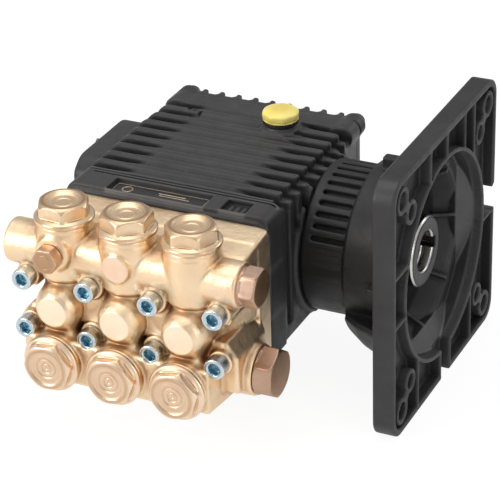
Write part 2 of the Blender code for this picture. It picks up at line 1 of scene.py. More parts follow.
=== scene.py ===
"""Looks of the triplex plunger pump: fine surfaces, finishes, studio and camera.

X runs along the crankshaft, from the closed bearing end (-X) to the engine flange (+X).
Y runs from the brass manifold in front (-Y) to the rear cover (+Y), and Z is up.
Shapes are in millimetres; materials, lights and camera are in metres. Cast and turned
pieces are distance fields, negative inside, joined with soft fillets and turned into
closed meshes. Most pieces stand for the CAD node they replace.
"""

import copy
import functools
import math

import bpy
import numpy as np
from mathutils import Matrix, Vector

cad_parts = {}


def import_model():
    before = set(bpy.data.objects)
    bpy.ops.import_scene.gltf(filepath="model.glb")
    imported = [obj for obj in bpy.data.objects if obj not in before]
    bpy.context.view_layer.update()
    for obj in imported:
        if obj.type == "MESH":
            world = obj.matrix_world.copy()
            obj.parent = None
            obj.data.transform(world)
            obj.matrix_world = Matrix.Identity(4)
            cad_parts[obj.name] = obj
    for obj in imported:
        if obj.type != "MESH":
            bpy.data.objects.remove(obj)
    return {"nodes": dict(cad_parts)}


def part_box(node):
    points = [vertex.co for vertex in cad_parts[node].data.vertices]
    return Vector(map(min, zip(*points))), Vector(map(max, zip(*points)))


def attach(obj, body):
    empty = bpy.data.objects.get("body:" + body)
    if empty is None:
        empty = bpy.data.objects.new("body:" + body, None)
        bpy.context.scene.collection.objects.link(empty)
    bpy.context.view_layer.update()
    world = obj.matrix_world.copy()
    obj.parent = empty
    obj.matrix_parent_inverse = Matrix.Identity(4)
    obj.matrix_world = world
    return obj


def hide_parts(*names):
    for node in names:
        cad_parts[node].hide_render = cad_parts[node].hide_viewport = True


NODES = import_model()["nodes"]
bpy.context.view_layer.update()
FINE = 1.0
SCENE = bpy.context.scene
COLLECTION = SCENE.collection
LOW, HIGH = 0, 1


def mid_of(node):
    return [(low + high) * 500 for low, high in zip(*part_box(node))]


def end_of(node, side, axis):
    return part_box(node)[side]["XYZ".index(axis)] * 1000


# Places read from the CAD frame.
CYLINDER_X = [mid_of(f"plunger_{i}")[0] for i in (1, 2, 3)]
AXIS_Z = mid_of("plunger_1")[2]
SCREWS = [tuple(mid_of(f"manifold_screw_{k}")[0::2]) for k in range(1, 9)]
FILLER = tuple(mid_of("oil_cap")[:2])
VALVE_Y = mid_of("discharge_seat_1")[1]
VALVE_Z = mid_of("inlet_seat_1")[2]
FLANGE_FACE = end_of("engine_flange", HIGH, "X")
FLANGE_HALF = (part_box("engine_flange")[1][1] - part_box("engine_flange")[0][1]) * 500
JOINT_Y = end_of("manifold", HIGH, "Y")
CASE_BACK = end_of("crankcase", HIGH, "Y")
LEFT_END = end_of("crankcase", LOW, "X")

# Centre lines, as the two coordinates across their axis.
CENTRE = (0, 0)
SHAFT = (0, AXIS_Z)
OUTLET = (VALVE_Y, 75)
INLET = (-115, VALVE_Z)
GAUGE = (CYLINDER_X[0], 80.0)
FRONT_BOSS = (CYLINDER_X[1], 78.6)
DRAIN = (30, 17)

CASE_FRONT = JOINT_Y + 0.3
CASE_TOP = 93.2
CASE_HALF = 66.6
COVER_Y = CASE_BACK + 0.3
COVER_CORNERS = [(x, z) for x in (-57.5, 57.5) for z in (8.5, 86.5)]


# ===================================================================== fields
# A flat is (box, field(wide, high)); a shape is (box, field(X, Y, Z)).
# A box lists low and high limits in turn, and bounds where the field is worked out.
def soft_min(one, two, fillet):
    if fillet <= 0:
        return np.minimum(one, two)
    near = np.maximum(fillet - np.abs(one - two), 0.0) / fillet
    return np.minimum(one, two) - near * near * np.float32(fillet * 0.25)


def soft_max(one, two, fillet):
    return -soft_min(-one, -two, fillet)


def split(axis, X, Y, Z):
    """Coordinates as (along the axis, wide, high)."""
    return {"X": (X, Y, Z), "Y": (Y, X, Z), "Z": (Z, X, Y)}[axis]


def limits(axis, span, flat):
    return {
        "X": (*span, *flat),
        "Y": (*flat[:2], *span, *flat[2:]),
        "Z": (*flat, *span),
    }[axis]


def distance(centre, wide, high):
    return np.sqrt((wide - centre[0]) ** 2 + (high - centre[1]) ** 2)


def off_axis(points, axis, centre):
    """Distance of mesh points from an axis."""
    _, wide, high = split(axis, *points.T)
    return np.hypot(wide - centre[0], high - centre[1])


def rim(side, end, edge):
    """Meet of two fields with an edge of the given radius."""
    side, end = side + np.float32(edge), end + np.float32(edge)
    outside = np.sqrt(np.maximum(side, 0) ** 2 + np.maximum(end, 0) ** 2)
    return np.minimum(np.maximum(side, end), 0) + outside - np.float32(edge)


def rounded(coords, middles, halves, radius):
    """Field of a rectangle or box with rounded corners."""
    past = [np.abs(c - mid) - (half - radius) for c, mid, half in zip(coords, middles, halves)]
    outside = np.sqrt(sum(np.maximum(q, 0) ** 2 for q in past))
    return outside + np.minimum(functools.reduce(np.maximum, past), 0) - np.float32(radius)


def disc(centre, radius):
    x, y = centre
    box = (x - radius, x + radius, y - radius, y + radius)
    return box, lambda wide, high: distance(centre, wide, high) - radius


def round_rect(centre, half, radius):
    (x, y), (dx, dy) = centre, half
    box = (x - dx, x + dx, y - dy, y + dy)
    return box, lambda wide, high: rounded((wide, high), centre, half, radius)


def rect_frame(centre, half, width):
    box, outer = round_rect(centre, half, 1.0)
    _, inner = round_rect(centre, (half[0] - width, half[1] - width), 0.6)
    return box, lambda wide, high: np.maximum(outer(wide, high), -inner(wide, high))


def convex(points, soften):
    """Convex polygon with softened corners."""
    pairs = list(zip(points, points[1:] + points[:1]))
    area = sum(x0 * y1 - x1 * y0 for (x0, y0), (x1, y1) in pairs)
    sign = 1.0 if area > 0 else -1.0

    def field(wide, high):
        result = None
        for (x0, y0), (x1, y1) in pairs:
            dx, dy = x1 - x0, y1 - y0
            side = (dy * (wide - x0) - dx * (high - y0)) * (sign / math.hypot(dx, dy))
            result = side if result is None else soft_max(result, side, soften)
        return result

    xs, ys = zip(*points)
    return (min(xs), max(xs), min(ys), max(ys)), field


def polygon(pairs, flats, phase, soften=0.5):
    """Regular polygon with so many pairs of opposite sides, about the centre."""

    def field(wide, high):
        result = None
        for i in range(pairs):
            angle = phase + math.pi / pairs * i
            side = np.abs(wide * math.cos(angle) + high * math.sin(angle)) - flats / 2
            result = side if result is None else soft_max(result, side, soften)
        return result

    reach = flats / math.sqrt(3)  # corner of a hexagon; more sides stay inside it
    return (-reach, reach, -reach, reach), field


def prism(axis, flat, span, edge):
    box, outline = flat
    start, end = span

    def field(X, Y, Z):
        along, wide, high = split(axis, X, Y, Z)
        return rim(outline(wide, high), np.abs(along - (start + end) / 2) - (end - start) / 2, edge)

    return limits(axis, span, box), field


def rod(axis, centre, radius, span, edge):
    return prism(axis, disc(centre, radius), span, edge)


def block(x_span, y_span, z_span, edge):
    spans = (x_span, y_span, z_span)
    middles = [(low + high) / 2 for low, high in spans]
    halves = [(high - low) / 2 for low, high in spans]
    return (*x_span, *y_span, *z_span), lambda *coords: rounded(coords, middles, halves, edge)


def outline_field(points, along, radius):
    """Signed distance from any closed outline."""
    nearest = np.full(along.shape, 1e9)
    sign = np.ones(along.shape)
    for (x0, y0), (x1, y1) in zip(points, points[1:] + points[:1]):
        dx, dy = x1 - x0, y1 - y0
        from_x, from_y = along - x0, radius - y0
        part = np.clip((from_x * dx + from_y * dy) / max(dx * dx + dy * dy, 1e-12), 0, 1)
        nearest = np.minimum(nearest, (from_x - dx * part) ** 2 + (from_y - dy * part) ** 2)
        above, below, left = radius >= y0, radius < y1, dx * from_y > dy * from_x
        sign[(above & below & left) | (~above & ~below & ~left)] *= -1
    return sign * np.sqrt(nearest)


def turned(axis, centre, profile):
    """Body turned about an axis from (along, radius) points."""
    outline = list(profile)
    if outline[0][1] <= 0 or outline[-1][1] <= 0:  # mirror an outline that meets the axis
        outline = outline + [(a, -r) for a, r in reversed(outline) if r > 0]
    stations, radii = zip(*profile)
    step = 0.25  # radial step of the lookup table
    index = "XYZ".index(axis)

    def field(X, Y, Z):
        along, wide, high = split(axis, X, Y, Z)
        radius = distance(centre, wide, high)
        line = along.ravel().astype(float)
        rings = np.arange(0.0, float(radius.max()) + 0.6 + 0.5, step)
        table = outline_field(outline, *np.meshgrid(line, rings, indexing="ij"))
        table = table.astype(np.float32)
        place = radius.ravel() / step
        low = place.astype(int)
        part = (place - low).astype(np.float32)
        both = table[:, low] * (1 - part) + table[:, low + 1] * part
        both = both.reshape(len(line), *radius.squeeze(axis=index).shape)
        return np.moveaxis(both, 0, index)

    return limits(axis, (min(stations), max(stations)), disc(centre, max(radii))[0]), field


class Casting:
    """A distance field on a grid of points."""

    REACH = 8.0  # how far beyond its box a shape still acts

    def __init__(self, box, step):
        self.step = step = step * FINE
        self.axes = [
            (a - 2.6 * step + step * np.arange(int((b - a) / step + 6.2))).astype(np.float32)
            for a, b in zip(box[0::2], box[1::2])
        ]
        self.low = np.array([axis[0] for axis in self.axes], float)
        self.values = np.full([len(axis) for axis in self.axes], 40.0, np.float32)

    def near(self, shape):
        """Window of the grid round a shape, and the shape's field there."""
        box, field = shape
        window = []
        for k, axis in enumerate(self.axes):
            start = int(np.searchsorted(axis, box[2 * k] - self.REACH))
            window.append(slice(start, int(np.searchsorted(axis, box[2 * k + 1] + self.REACH))))
        grid = np.ix_(*[axis[cut] for axis, cut in zip(self.axes, window)])
        return tuple(window), field(*grid).astype(np.float32)

    def add(self, shape, fillet=0.0):
        window, field = self.near(shape)
        self.values[window] = soft_min(self.values[window], field, fillet)

    def cut(self, shape, fillet=0.0):
        window, field = self.near(shape)
        self.values[window] = soft_max(self.values[window], -field, fillet)

    def keep(self, shape, fillet):
        """Keep only what lies inside the shape; its box isn't used."""
        field = shape[1](*np.ix_(*self.axes)).astype(np.float32)
        self.values = soft_max(self.values, field, fillet)

    def net(self):
        """Closed quad mesh of the zero level: a point in each crossed cell."""
        values = self.values
        for k in range(3):  # the border is always outside
            for end in (0, -1):
                side = [slice(None)] * 3
                side[k] = end
                side = tuple(side)
                values[side] = np.maximum(values[side], 0.5 * self.step)
        inside = values < 0
        count = np.zeros([n - 1 for n in values.shape], np.uint8)
        for corner in np.ndindex(2, 2, 2):
            count += inside[tuple(slice(i, i + n) for i, n in zip(corner, count.shape))]
        cells = np.nonzero((count > 0) & (count < 8))
        number = np.full(count.shape, -1, np.int32)
        number[cells] = np.arange(len(cells[0]), dtype=np.int32)
        corners = {
            corner: values[tuple(c + i for c, i in zip(cells, corner))].astype(np.float64)
            for corner in np.ndindex(2, 2, 2)
        }
        place = np.zeros((len(cells[0]), 3))
        hits = np.zeros(len(cells[0]))
        for k, i, j in np.ndindex(3, 2, 2):
            start = [i, j]
            start.insert(k, 0)
            end = list(start)
            end[k] = 1
            one, two = corners[tuple(start)], corners[tuple(end)]
            cross = (one < 0) != (two < 0)
            part = np.where(cross, one / np.where(cross, one - two, 1), 0)
            for m in range(3):
                place[:, m] += np.where(cross, part if m == k else start[m], 0)
            hits += cross
        place = place / hits[:, None]
        points = self.low + (np.stack(cells, 1) + place) * self.step
        quads = []
        for k, (first, second) in enumerate([(1, 2), (2, 0), (0, 1)]):
            before = [slice(1, -1)] * 3
            after = [slice(1, -1)] * 3
            before[k], after[k] = slice(0, -1), slice(1, None)
            one, two = inside[tuple(before)], inside[tuple(after)]
            for low_in in (True, False):
                found = np.nonzero(one & ~two if low_in else ~one & two)
                base = [found[m] + (0 if m == k else 1) for m in range(3)]
                ring = []
                for i, j in ((-1, -1), (0, -1), (0, 0), (-1, 0)):
                    cell = list(base)
                    cell[first] = base[first] + i
                    cell[second] = base[second] + j
                    ring.append(number[tuple(cell)])
                if not low_in:
                    ring.reverse()
                quads.append(np.stack(ring, 1))
        quads = np.concatenate(quads)
        return points, quads[(quads >= 0).all(1)]

    def sample(self, points):
        """Field at any points, by trilinear mixing."""
        place = (points - self.low) / self.step
        cell = np.clip(np.floor(place).astype(int), 0, np.array(self.values.shape) - 2)
        part = np.clip(place - cell, 0, 1)
        out = np.zeros(len(points))
        for k, j, i in np.ndindex(2, 2, 2):
            offset = np.array((i, j, k))
            weight = np.prod(np.where(offset, part, 1 - part), 1)
            out += weight * self.values[tuple((cell + offset).T)]
        return out

    def slope(self, points, reach):
        """Unit direction in which the field grows, and how fast it grows."""
        slope = np.zeros_like(points)
        for k in range(3):
            offset = np.zeros(3)
            offset[k] = reach
            slope[:, k] = self.sample(points + offset) - self.sample(points - offset)
        size = np.linalg.norm(slope, axis=1)
        return slope / np.maximum(size, 1e-9)[:, None], size / (2 * reach)


def settled(points, quads, cast):
    """Even out the net, then bring it back to the surface."""
    start, end = np.concatenate([quads[:, [i, (i + 1) % 4]] for i in range(4)]).T
    total = np.zeros_like(points)
    for m in range(3):
        total[:, m] = np.bincount(start, points[end, m], len(points)) + np.bincount(
            end, points[start, m], len(points)
        )
    number = np.bincount(start, minlength=len(points)) + np.bincount(end, minlength=len(points))
    points = 0.4 * points + 0.6 * total / np.maximum(number, 1)[:, None]
    normals, size = cast.slope(points, 0.9 * cast.step)
    away = cast.sample(points) / np.maximum(size, 0.3)
    return points - normals * np.clip(away, -0.6 * cast.step, 0.6 * cast.step)[:, None]


def mesh_from(name, points, faces):
    """Blender mesh, in metres, from faces that all have the same number of sides."""
    mesh = bpy.data.meshes.new(name)
    mesh.vertices.add(len(points))
    mesh.vertices.foreach_set("co", (points * 0.001).astype(np.float32).ravel())
    mesh.loops.add(faces.size)
    mesh.loops.foreach_set("vertex_index", faces.astype(np.int32).ravel())
    mesh.polygons.add(len(faces))
    starts = np.arange(0, faces.size, faces.shape[1], dtype=np.int32)
    mesh.polygons.foreach_set("loop_start", starts)
    mesh.update(calc_edges=True)
    return mesh


def thinned(points, quads, target):
    """Fewer triangles, with the detail kept where the surface bends."""
    mesh = mesh_from("thin", points, quads)
    ob = bpy.data.objects.new("thin", mesh)
    COLLECTION.objects.link(ob)
    triangles = len(quads) * 2
    if triangles > target:
        ob.modifiers.new("thin", "DECIMATE").ratio = target / triangles
    ob.modifiers.new("tri", "TRIANGULATE").min_vertices = 4
    graph = bpy.context.evaluated_depsgraph_get()
    made = bpy.data.meshes.new_from_object(ob.evaluated_get(graph))
    coords = np.empty(len(made.vertices) * 3, np.float32)
    made.vertices.foreach_get("co", coords)
    index = np.empty(len(made.loops), np.int32)
    made.loops.foreach_get("vertex_index", index)
    bpy.data.objects.remove(ob)
    bpy.data.meshes.remove(mesh)
    bpy.data.meshes.remove(made)
    return coords.reshape(-1, 3).astype(float) * 1000, index.reshape(-1, 3)


# Turns that stand a piece made along +Z along another axis.
STANDS = {
    "X": ((0, 0, 1), (1, 0, 0), (0, 1, 0)),
    "-X": ((0, 0, -1), (-1, 0, 0), (0, 1, 0)),
    "Y": ((-1, 0, 0), (0, 0, 1), (0, 1, 0)),
    "-Y": ((1, 0, 0), (0, 0, -1), (0, 1, 0)),
    "Z": ((1, 0, 0), (0, 1, 0), (0, 0, 1)),
}


class Skin:
    """Points, triangles, normals and the hollow and ridge fields of a finished surface; the
    materials use them for painted shade in hollows and painted highlights on ridges.
    """

    def __init__(self, cast, triangles):
        points, quads = cast.net()
        points = settled(points, quads, cast)
        self.points, self.faces = thinned(points, quads, int(triangles / FINE**1.2))
        self.normals, _ = cast.slope(self.points, 1.1 * cast.step)
        self.hollow = np.zeros(len(self.points))
        for reach in (1.4, 3.2, 6.0):
            outside = cast.sample(self.points + self.normals * reach)
            self.hollow += np.clip(1 - outside / reach, 0, 1) / 3
        self.ridge = np.clip(1 + cast.sample(self.points - self.normals * 1.6) / 1.6, 0, 1)

    def placed(self, axis, point, turn=0.0):
        """Copy of a skin made along +Z, stood at a point along the axis."""
        stand = Matrix(STANDS[axis]).to_4x4()
        spin = Matrix.Rotation(turn, 4, "Z")
        matrix = np.array(Matrix.Translation(Vector(point)) @ stand @ spin, float)
        moved = copy.copy(self)
        moved.points = self.points @ matrix[:3, :3].T + matrix[:3, 3]
        moved.normals = self.normals @ matrix[:3, :3].T
        return moved


def piece(skin, name, mats, node=None, pick=None, body="housing"):
    """Object from a skin; pick(centres, normals) gives each face its material number."""
    mesh = mesh_from(name, skin.points, skin.faces)
    mesh.polygons.foreach_set("use_smooth", np.ones(len(skin.faces), bool))
    for key in ("hollow", "ridge"):
        values = getattr(skin, key).astype(np.float32)
        mesh.attributes.new(key, "FLOAT", "POINT").data.foreach_set("value", values)
    for mat in mats:
        mesh.materials.append(mat)
    if pick:
        corners = skin.points[skin.faces]
        normals = np.cross(corners[:, 1] - corners[:, 0], corners[:, 2] - corners[:, 0])
        normals /= np.maximum(np.linalg.norm(normals, axis=1), 1e-12)[:, None]
        chosen = pick(corners.mean(1), normals).astype(np.int32)
        mesh.polygons.foreach_set("material_index", chosen)
    mesh.normals_split_custom_set_from_vertices(skin.normals.astype(np.float32))
    ob = bpy.data.objects.new(name, mesh)
    COLLECTION.objects.link(ob)
    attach(ob, body)
    if node:
        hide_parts(node)


# ================================================================== materials
class Paint:
    """Small helper for node materials."""

    def __init__(self, name):
        self.material = bpy.data.materials.new(name)
        self.material.use_nodes = True
        self.tree = self.material.node_tree
        self.surface = self.tree.nodes["Principled BSDF"]
        self.coords = self.node("ShaderNodeTexCoord").outputs["Object"]

    def node(self, kind, values=None, **props):
        """New node; values are input defaults or links, by input name."""
        node = self.tree.nodes.new(kind)
        for key, value in props.items():
            setattr(node, key, value)
        for key, value in (values or {}).items():
            self.put(node.inputs[key], value)
        return node

    def put(self, socket, value):
        if hasattr(value, "is_output"):
            self.tree.links.new(value, socket)
        else:
            socket.default_value = value

    def noise(self, scale, detail=3.0, rough=0.55, distort=0.0):
        values = {"Scale": scale, "Detail": detail, "Roughness": rough, "Distortion": distort}
        return self.node("ShaderNodeTexNoise", {**values, "Vector": self.coords}).outputs["Fac"]

    def ramp(self, value, start=0.3, end=0.7, low=0.0, high=1.0):
        """Map start..end to low..high, held at both ends."""
        values = {
            "Value": value, "From Min": start, "From Max": end, "To Min": low, "To Max": high
        }
        return self.node("ShaderNodeMapRange", values, clamp=True).outputs["Result"]

    def cloud(self, scale, detail=3.0, rough=0.55, distort=0.0, **span):
        """Number that varies in patches."""
        return self.ramp(self.noise(scale, detail, rough, distort), **span)

    def skin_field(self, key, **span):
        """Number that follows a skin's hollow or ridge field."""
        field = self.node("ShaderNodeAttribute", attribute_name=key).outputs["Fac"]
        return self.ramp(field, **span)

    def math(self, how, *values):
        node = self.node("ShaderNodeMath", operation=how)
        for socket, value in zip(node.inputs, values):
            self.put(socket, value)
        return node.outputs[0]

    def mix(self, factor, one, two):
        node = self.node("ShaderNodeMix", data_type="RGBA")
        self.put(node.inputs[0], factor)
        for socket, colour in ((node.inputs[6], one), (node.inputs[7], two)):
            self.put(socket, (*colour, 1.0) if isinstance(colour, tuple) else colour)
        return node.outputs[2]

    def vector(self, how, one, two=None):
        node = self.node("ShaderNodeVectorMath", operation=how)
        self.put(node.inputs[0], one)
        if two:
            self.put(node.inputs[1], two)
        return node.outputs["Value" if how == "LENGTH" else "Vector"]

    def radius(self, axis, centre):
        """Distance from an axis, in metres."""
        point = list(centre)
        point.insert("XYZ".index(axis), 0)
        offset = self.vector("SUBTRACT", self.coords, tuple(c * 0.001 for c in point))
        mask = tuple(0.0 if a == axis else 1.0 for a in "XYZ")
        return self.vector("LENGTH", self.vector("MULTIPLY", offset, mask))

    def along(self, axis):
        return self.node("ShaderNodeSeparateXYZ", {0: self.coords}).outputs["XYZ".index(axis)]

    def line_noise(self, value, scale):
        """Noise that varies along one number only, for turning marks."""
        scaled = self.math("MULTIPLY", value, scale)
        values = {"Scale": 1.0, "Detail": 2.5, "Roughness": 0.6, "W": scaled}
        return self.node("ShaderNodeTexNoise", values, noise_dimensions="1D").outputs["Fac"]

    def bump(self, height, strength, depth, over=None):
        values = {"Strength": strength, "Distance": depth, "Height": height}
        if over is not None:
            values["Normal"] = over
        return self.node("ShaderNodeBump", values).outputs["Normal"]

    def grain(self, strength, depth, over=None, **noise):
        return self.bump(self.noise(**noise), strength, depth, over)

    def finish(self, colour, rough, metal, normal, **more):
        values = {
            "Base Color": colour, "Roughness": rough, "Metallic": metal, "Normal": normal, **more
        }
        for key, value in values.items():
            self.put(self.surface.inputs[key.replace("_", " ")], value)
        return self.material


def mottled(name, colours, patch, sheen, grain, metal=0.0):
    """Two colours in patches, an uneven sheen and a fine grain."""
    paint = Paint(name)
    colour = paint.mix(paint.cloud(**patch), *colours)
    return paint.finish(colour, paint.cloud(**sheen), metal, paint.grain(**grain))


# edge is the colour of the painted highlight on ridges
def black_paint(
    name, dark=(0.020, 0.0196, 0.0206), light=(0.036, 0.0352, 0.037),
    edge=(0.115, 0.111, 0.113), rough=0.46,
):
    """Black paint with a painted highlight on ridges and painted shade in hollows, with pale
    flecks.
    """
    paint = Paint(name)
    colour = paint.mix(paint.cloud(scale=38, detail=4), dark, light)
    # painted highlight: ridges mixed toward the lighter edge colour
    ridge_highlight = paint.skin_field("ridge", start=0.30, end=0.90, high=0.75)
    colour = paint.mix(ridge_highlight, colour, edge)
    # painted shade: hollows darkened nearly to black
    hollow_shade = paint.skin_field("hollow", start=0.18, end=0.62, high=0.9)
    colour = paint.mix(hollow_shade, colour, (0.005, 0.005, 0.0055))
    fleck = paint.cloud(scale=950, detail=2, start=0.62, end=0.75, high=0.25)
    colour = paint.mix(fleck, colour, (0.055, 0.055, 0.056))
    sheen = paint.math(
        "ADD",
        paint.cloud(scale=120, low=rough - 0.07, high=rough + 0.07),
        paint.skin_field("hollow", start=0.15, end=0.7, high=0.35),
    )
    peel = paint.grain(scale=520, strength=0.22, depth=0.0004)
    sand = paint.grain(scale=1700, detail=2, strength=0.25, depth=0.00012, over=peel)
    return paint.finish(colour, sheen, 0.0, sand)


def forged_brass(name):
    paint = Paint(name)
    warm = paint.cloud(scale=26, detail=4, distort=0.4, start=0.32, end=0.68)
    colour = paint.mix(warm, (0.84, 0.61, 0.385), (0.93, 0.745, 0.515))
    pink = paint.cloud(scale=47, start=0.55, end=0.78, high=0.6)
    colour = paint.mix(pink, colour, (0.88, 0.62, 0.45))
    stain = paint.cloud(scale=88, detail=5, rough=0.65, start=0.58, end=0.80, high=0.5)
    colour = paint.mix(stain, colour, (0.68, 0.48, 0.27))
    # painted shade: crevices darkened to dark brown
    crevice_shade = paint.skin_field("hollow", start=0.12, end=0.55, high=0.85)
    colour = paint.mix(crevice_shade, colour, (0.42, 0.225, 0.10))
    # painted highlight: ridges lighter
    bright = paint.skin_field("ridge", start=0.35, end=0.95, high=0.4)
    colour = paint.mix(bright, colour, (0.94, 0.78, 0.56))
    sheen = paint.math(
        "ADD",
        paint.cloud(scale=64, detail=4, low=0.34, high=0.47),
        paint.skin_field("hollow", start=0.2, end=0.9, high=0.14),
    )
    wave = paint.grain(scale=70, strength=0.35, depth=0.0018)
    hammer = paint.grain(scale=330, detail=4, rough=0.6, strength=0.40, depth=0.0006, over=wave)
    grain = paint.grain(scale=1500, detail=2, strength=0.25, depth=0.00014, over=hammer)
    return paint.finish(colour, sheen, 1.0, grain)


def turned_metal(name, axis, centre, base, tone, rough, pitch, hollow=(0.40, 0.22, 0.10)):
    """Machined metal with rings about an axis on faces across it and along it; hollow is the colour
    of painted shade in hollows, and ridges get a painted highlight.
    """
    paint = Paint(name)
    rings = paint.line_noise(paint.radius(axis, centre), pitch)
    turns = paint.line_noise(paint.along(axis), pitch)
    colour = paint.mix(paint.cloud(scale=90, detail=4), base, tone)
    bright = paint.ramp(rings, start=0.35, end=0.75, high=0.28)
    colour = paint.mix(bright, colour, tuple(min(1.0, c * 1.12) for c in base))
    # painted shade: hollows mixed toward the hollow colour
    colour = paint.mix(paint.skin_field("hollow", start=0.2, end=0.7, high=0.75), colour, hollow)
    # painted highlight: ridges lighter than the base
    ridge_highlight = paint.skin_field("ridge", start=0.35, end=0.95, high=0.45)
    colour = paint.mix(ridge_highlight, colour, tuple(min(1.0, c * 1.15 + 0.03) for c in base))
    sheen = paint.math(
        "ADD",
        paint.ramp(rings, low=rough - 0.05, high=rough + 0.07),
        paint.cloud(scale=150, start=0.4, end=0.8, high=0.08),
    )
    normal = paint.bump(rings, strength=0.45, depth=0.00012)
    normal = paint.bump(turns, strength=0.30, depth=0.00012, over=normal)
    normal = paint.grain(scale=900, strength=0.12, depth=0.0002, over=normal)
    return paint.finish(colour, sheen, 1.0, normal)


def screw_metal(name, centre, socket_shade):
    """Zinc turned about Y; the socket version is painted dark blue, painted shade inside the
    recess.
    """
    paint = Paint(name)
    rings = paint.line_noise(paint.radius("Y", centre), 2400)
    colour = paint.mix(paint.cloud(scale=300), ZINC, ZINC_DULL)
    green = paint.cloud(scale=160, detail=2, start=0.5, end=0.75, high=0.35)
    colour = paint.mix(green, colour, (0.70, 0.76, 0.70))
    if socket_shade:
        # painted shade inside the socket, in dark blue
        patch = paint.cloud(scale=420, detail=2, start=0.35, end=0.65)
        colour = paint.mix(patch, (0.13, 0.26, 0.35), (0.36, 0.58, 0.68))
    else:
        # painted shade: hollows darkened to grey blue
        hollow_shade = paint.skin_field("hollow", start=0.3, end=0.8, high=0.6)
        colour = paint.mix(hollow_shade, colour, (0.30, 0.42, 0.48))
    marks = paint.bump(rings, strength=0.3, depth=0.0001)
    grain = paint.grain(scale=1300, detail=2, strength=0.15, depth=0.0001, over=marks)
    return paint.finish(colour, paint.ramp(rings, low=0.16, high=0.30), 1.0, grain)


def yellow_plastic():
    paint = Paint("plastic_yellow")
    colour = paint.mix(paint.cloud(scale=60), (0.90, 0.74, 0.14), (0.95, 0.83, 0.26))
    # painted shade: hollows darkened to brown yellow
    hollow_shade = paint.skin_field("hollow", start=0.2, end=0.7, high=0.6)
    colour = paint.mix(hollow_shade, colour, (0.62, 0.40, 0.02))
    sheen = paint.cloud(scale=500, low=0.28, high=0.42)
    grain = paint.grain(scale=1200, strength=0.16, depth=0.0002)
    return paint.finish(
        colour, sheen, 0.0, grain, Subsurface_Weight=0.08, Subsurface_Scale=0.003
    )


def sight_glass_paint():
    """Pale above the shaft height, oil brown below it."""
    paint = Paint("sight_pane")
    height = paint.math("SUBTRACT", paint.along("Z"), AXIS_Z * 0.001)
    level = paint.ramp(height, start=-0.0006, end=0.0006)
    colour = paint.mix(level, (0.62, 0.36, 0.08), (0.86, 0.85, 0.78))
    haze = paint.cloud(scale=260, start=0.45, end=0.8, high=0.25)
    colour = paint.mix(haze, colour, (0.50, 0.33, 0.12))
    sheen = paint.cloud(scale=200, detail=2, low=0.05, high=0.10)
    grain = paint.grain(scale=350, detail=2, strength=0.08, depth=0.0004)
    return paint.finish(colour, sheen, 0.0, grain, Coat_Weight=0.6, Coat_Roughness=0.04)


BRASS, BRASS_DEEP = (0.85, 0.655, 0.445), (0.76, 0.55, 0.35)
BRONZE, BRONZE_DEEP = (0.62, 0.43, 0.33), (0.42, 0.275, 0.20)
ZINC, ZINC_DULL = (0.78, 0.83, 0.86), (0.62, 0.68, 0.72)
# colour of the painted shade in hollows of dark steel
HOLLOW_SHADE_BLACK = (0.02, 0.02, 0.02)

PAINT_CASE = black_paint("paint_crankcase")
PAINT_COVER = black_paint("paint_rear_cover", rough=0.45)
PAINT_FLANGE = black_paint(
    "paint_engine_flange",
    (0.021, 0.0200, 0.0208), (0.037, 0.0352, 0.0365), (0.125, 0.120, 0.122), rough=0.44,
)
# painted highlight: a lighter copy of the flange paint for the slanted flats
PAINT_FLATS_LIT = black_paint(
    "paint_flange_flats_lit",
    (0.036, 0.0355, 0.037), (0.062, 0.0605, 0.063), (0.14, 0.136, 0.14), rough=0.34,
)
# painted shade: a much darker copy of the flange paint for the neck
PAINT_NECK_SHADE = black_paint(
    "paint_flange_neck_shade",
    (0.0035, 0.0035, 0.0038), (0.0075, 0.0073, 0.0078), (0.060, 0.058, 0.062), rough=0.52,
)
# painted shade: a darker copy of the flange paint for the bell and the pocket floors
PAINT_BELL_SHADE = black_paint(
    "paint_flange_inner_shade",
    (0.0085, 0.0085, 0.0090), (0.0165, 0.0162, 0.0170), (0.105, 0.101, 0.104), rough=0.46,
)
PAINT_BEARING_COVER = black_paint("paint_bearing_cover", rough=0.42)
FORGED_BRASS = forged_brass("brass_forged")


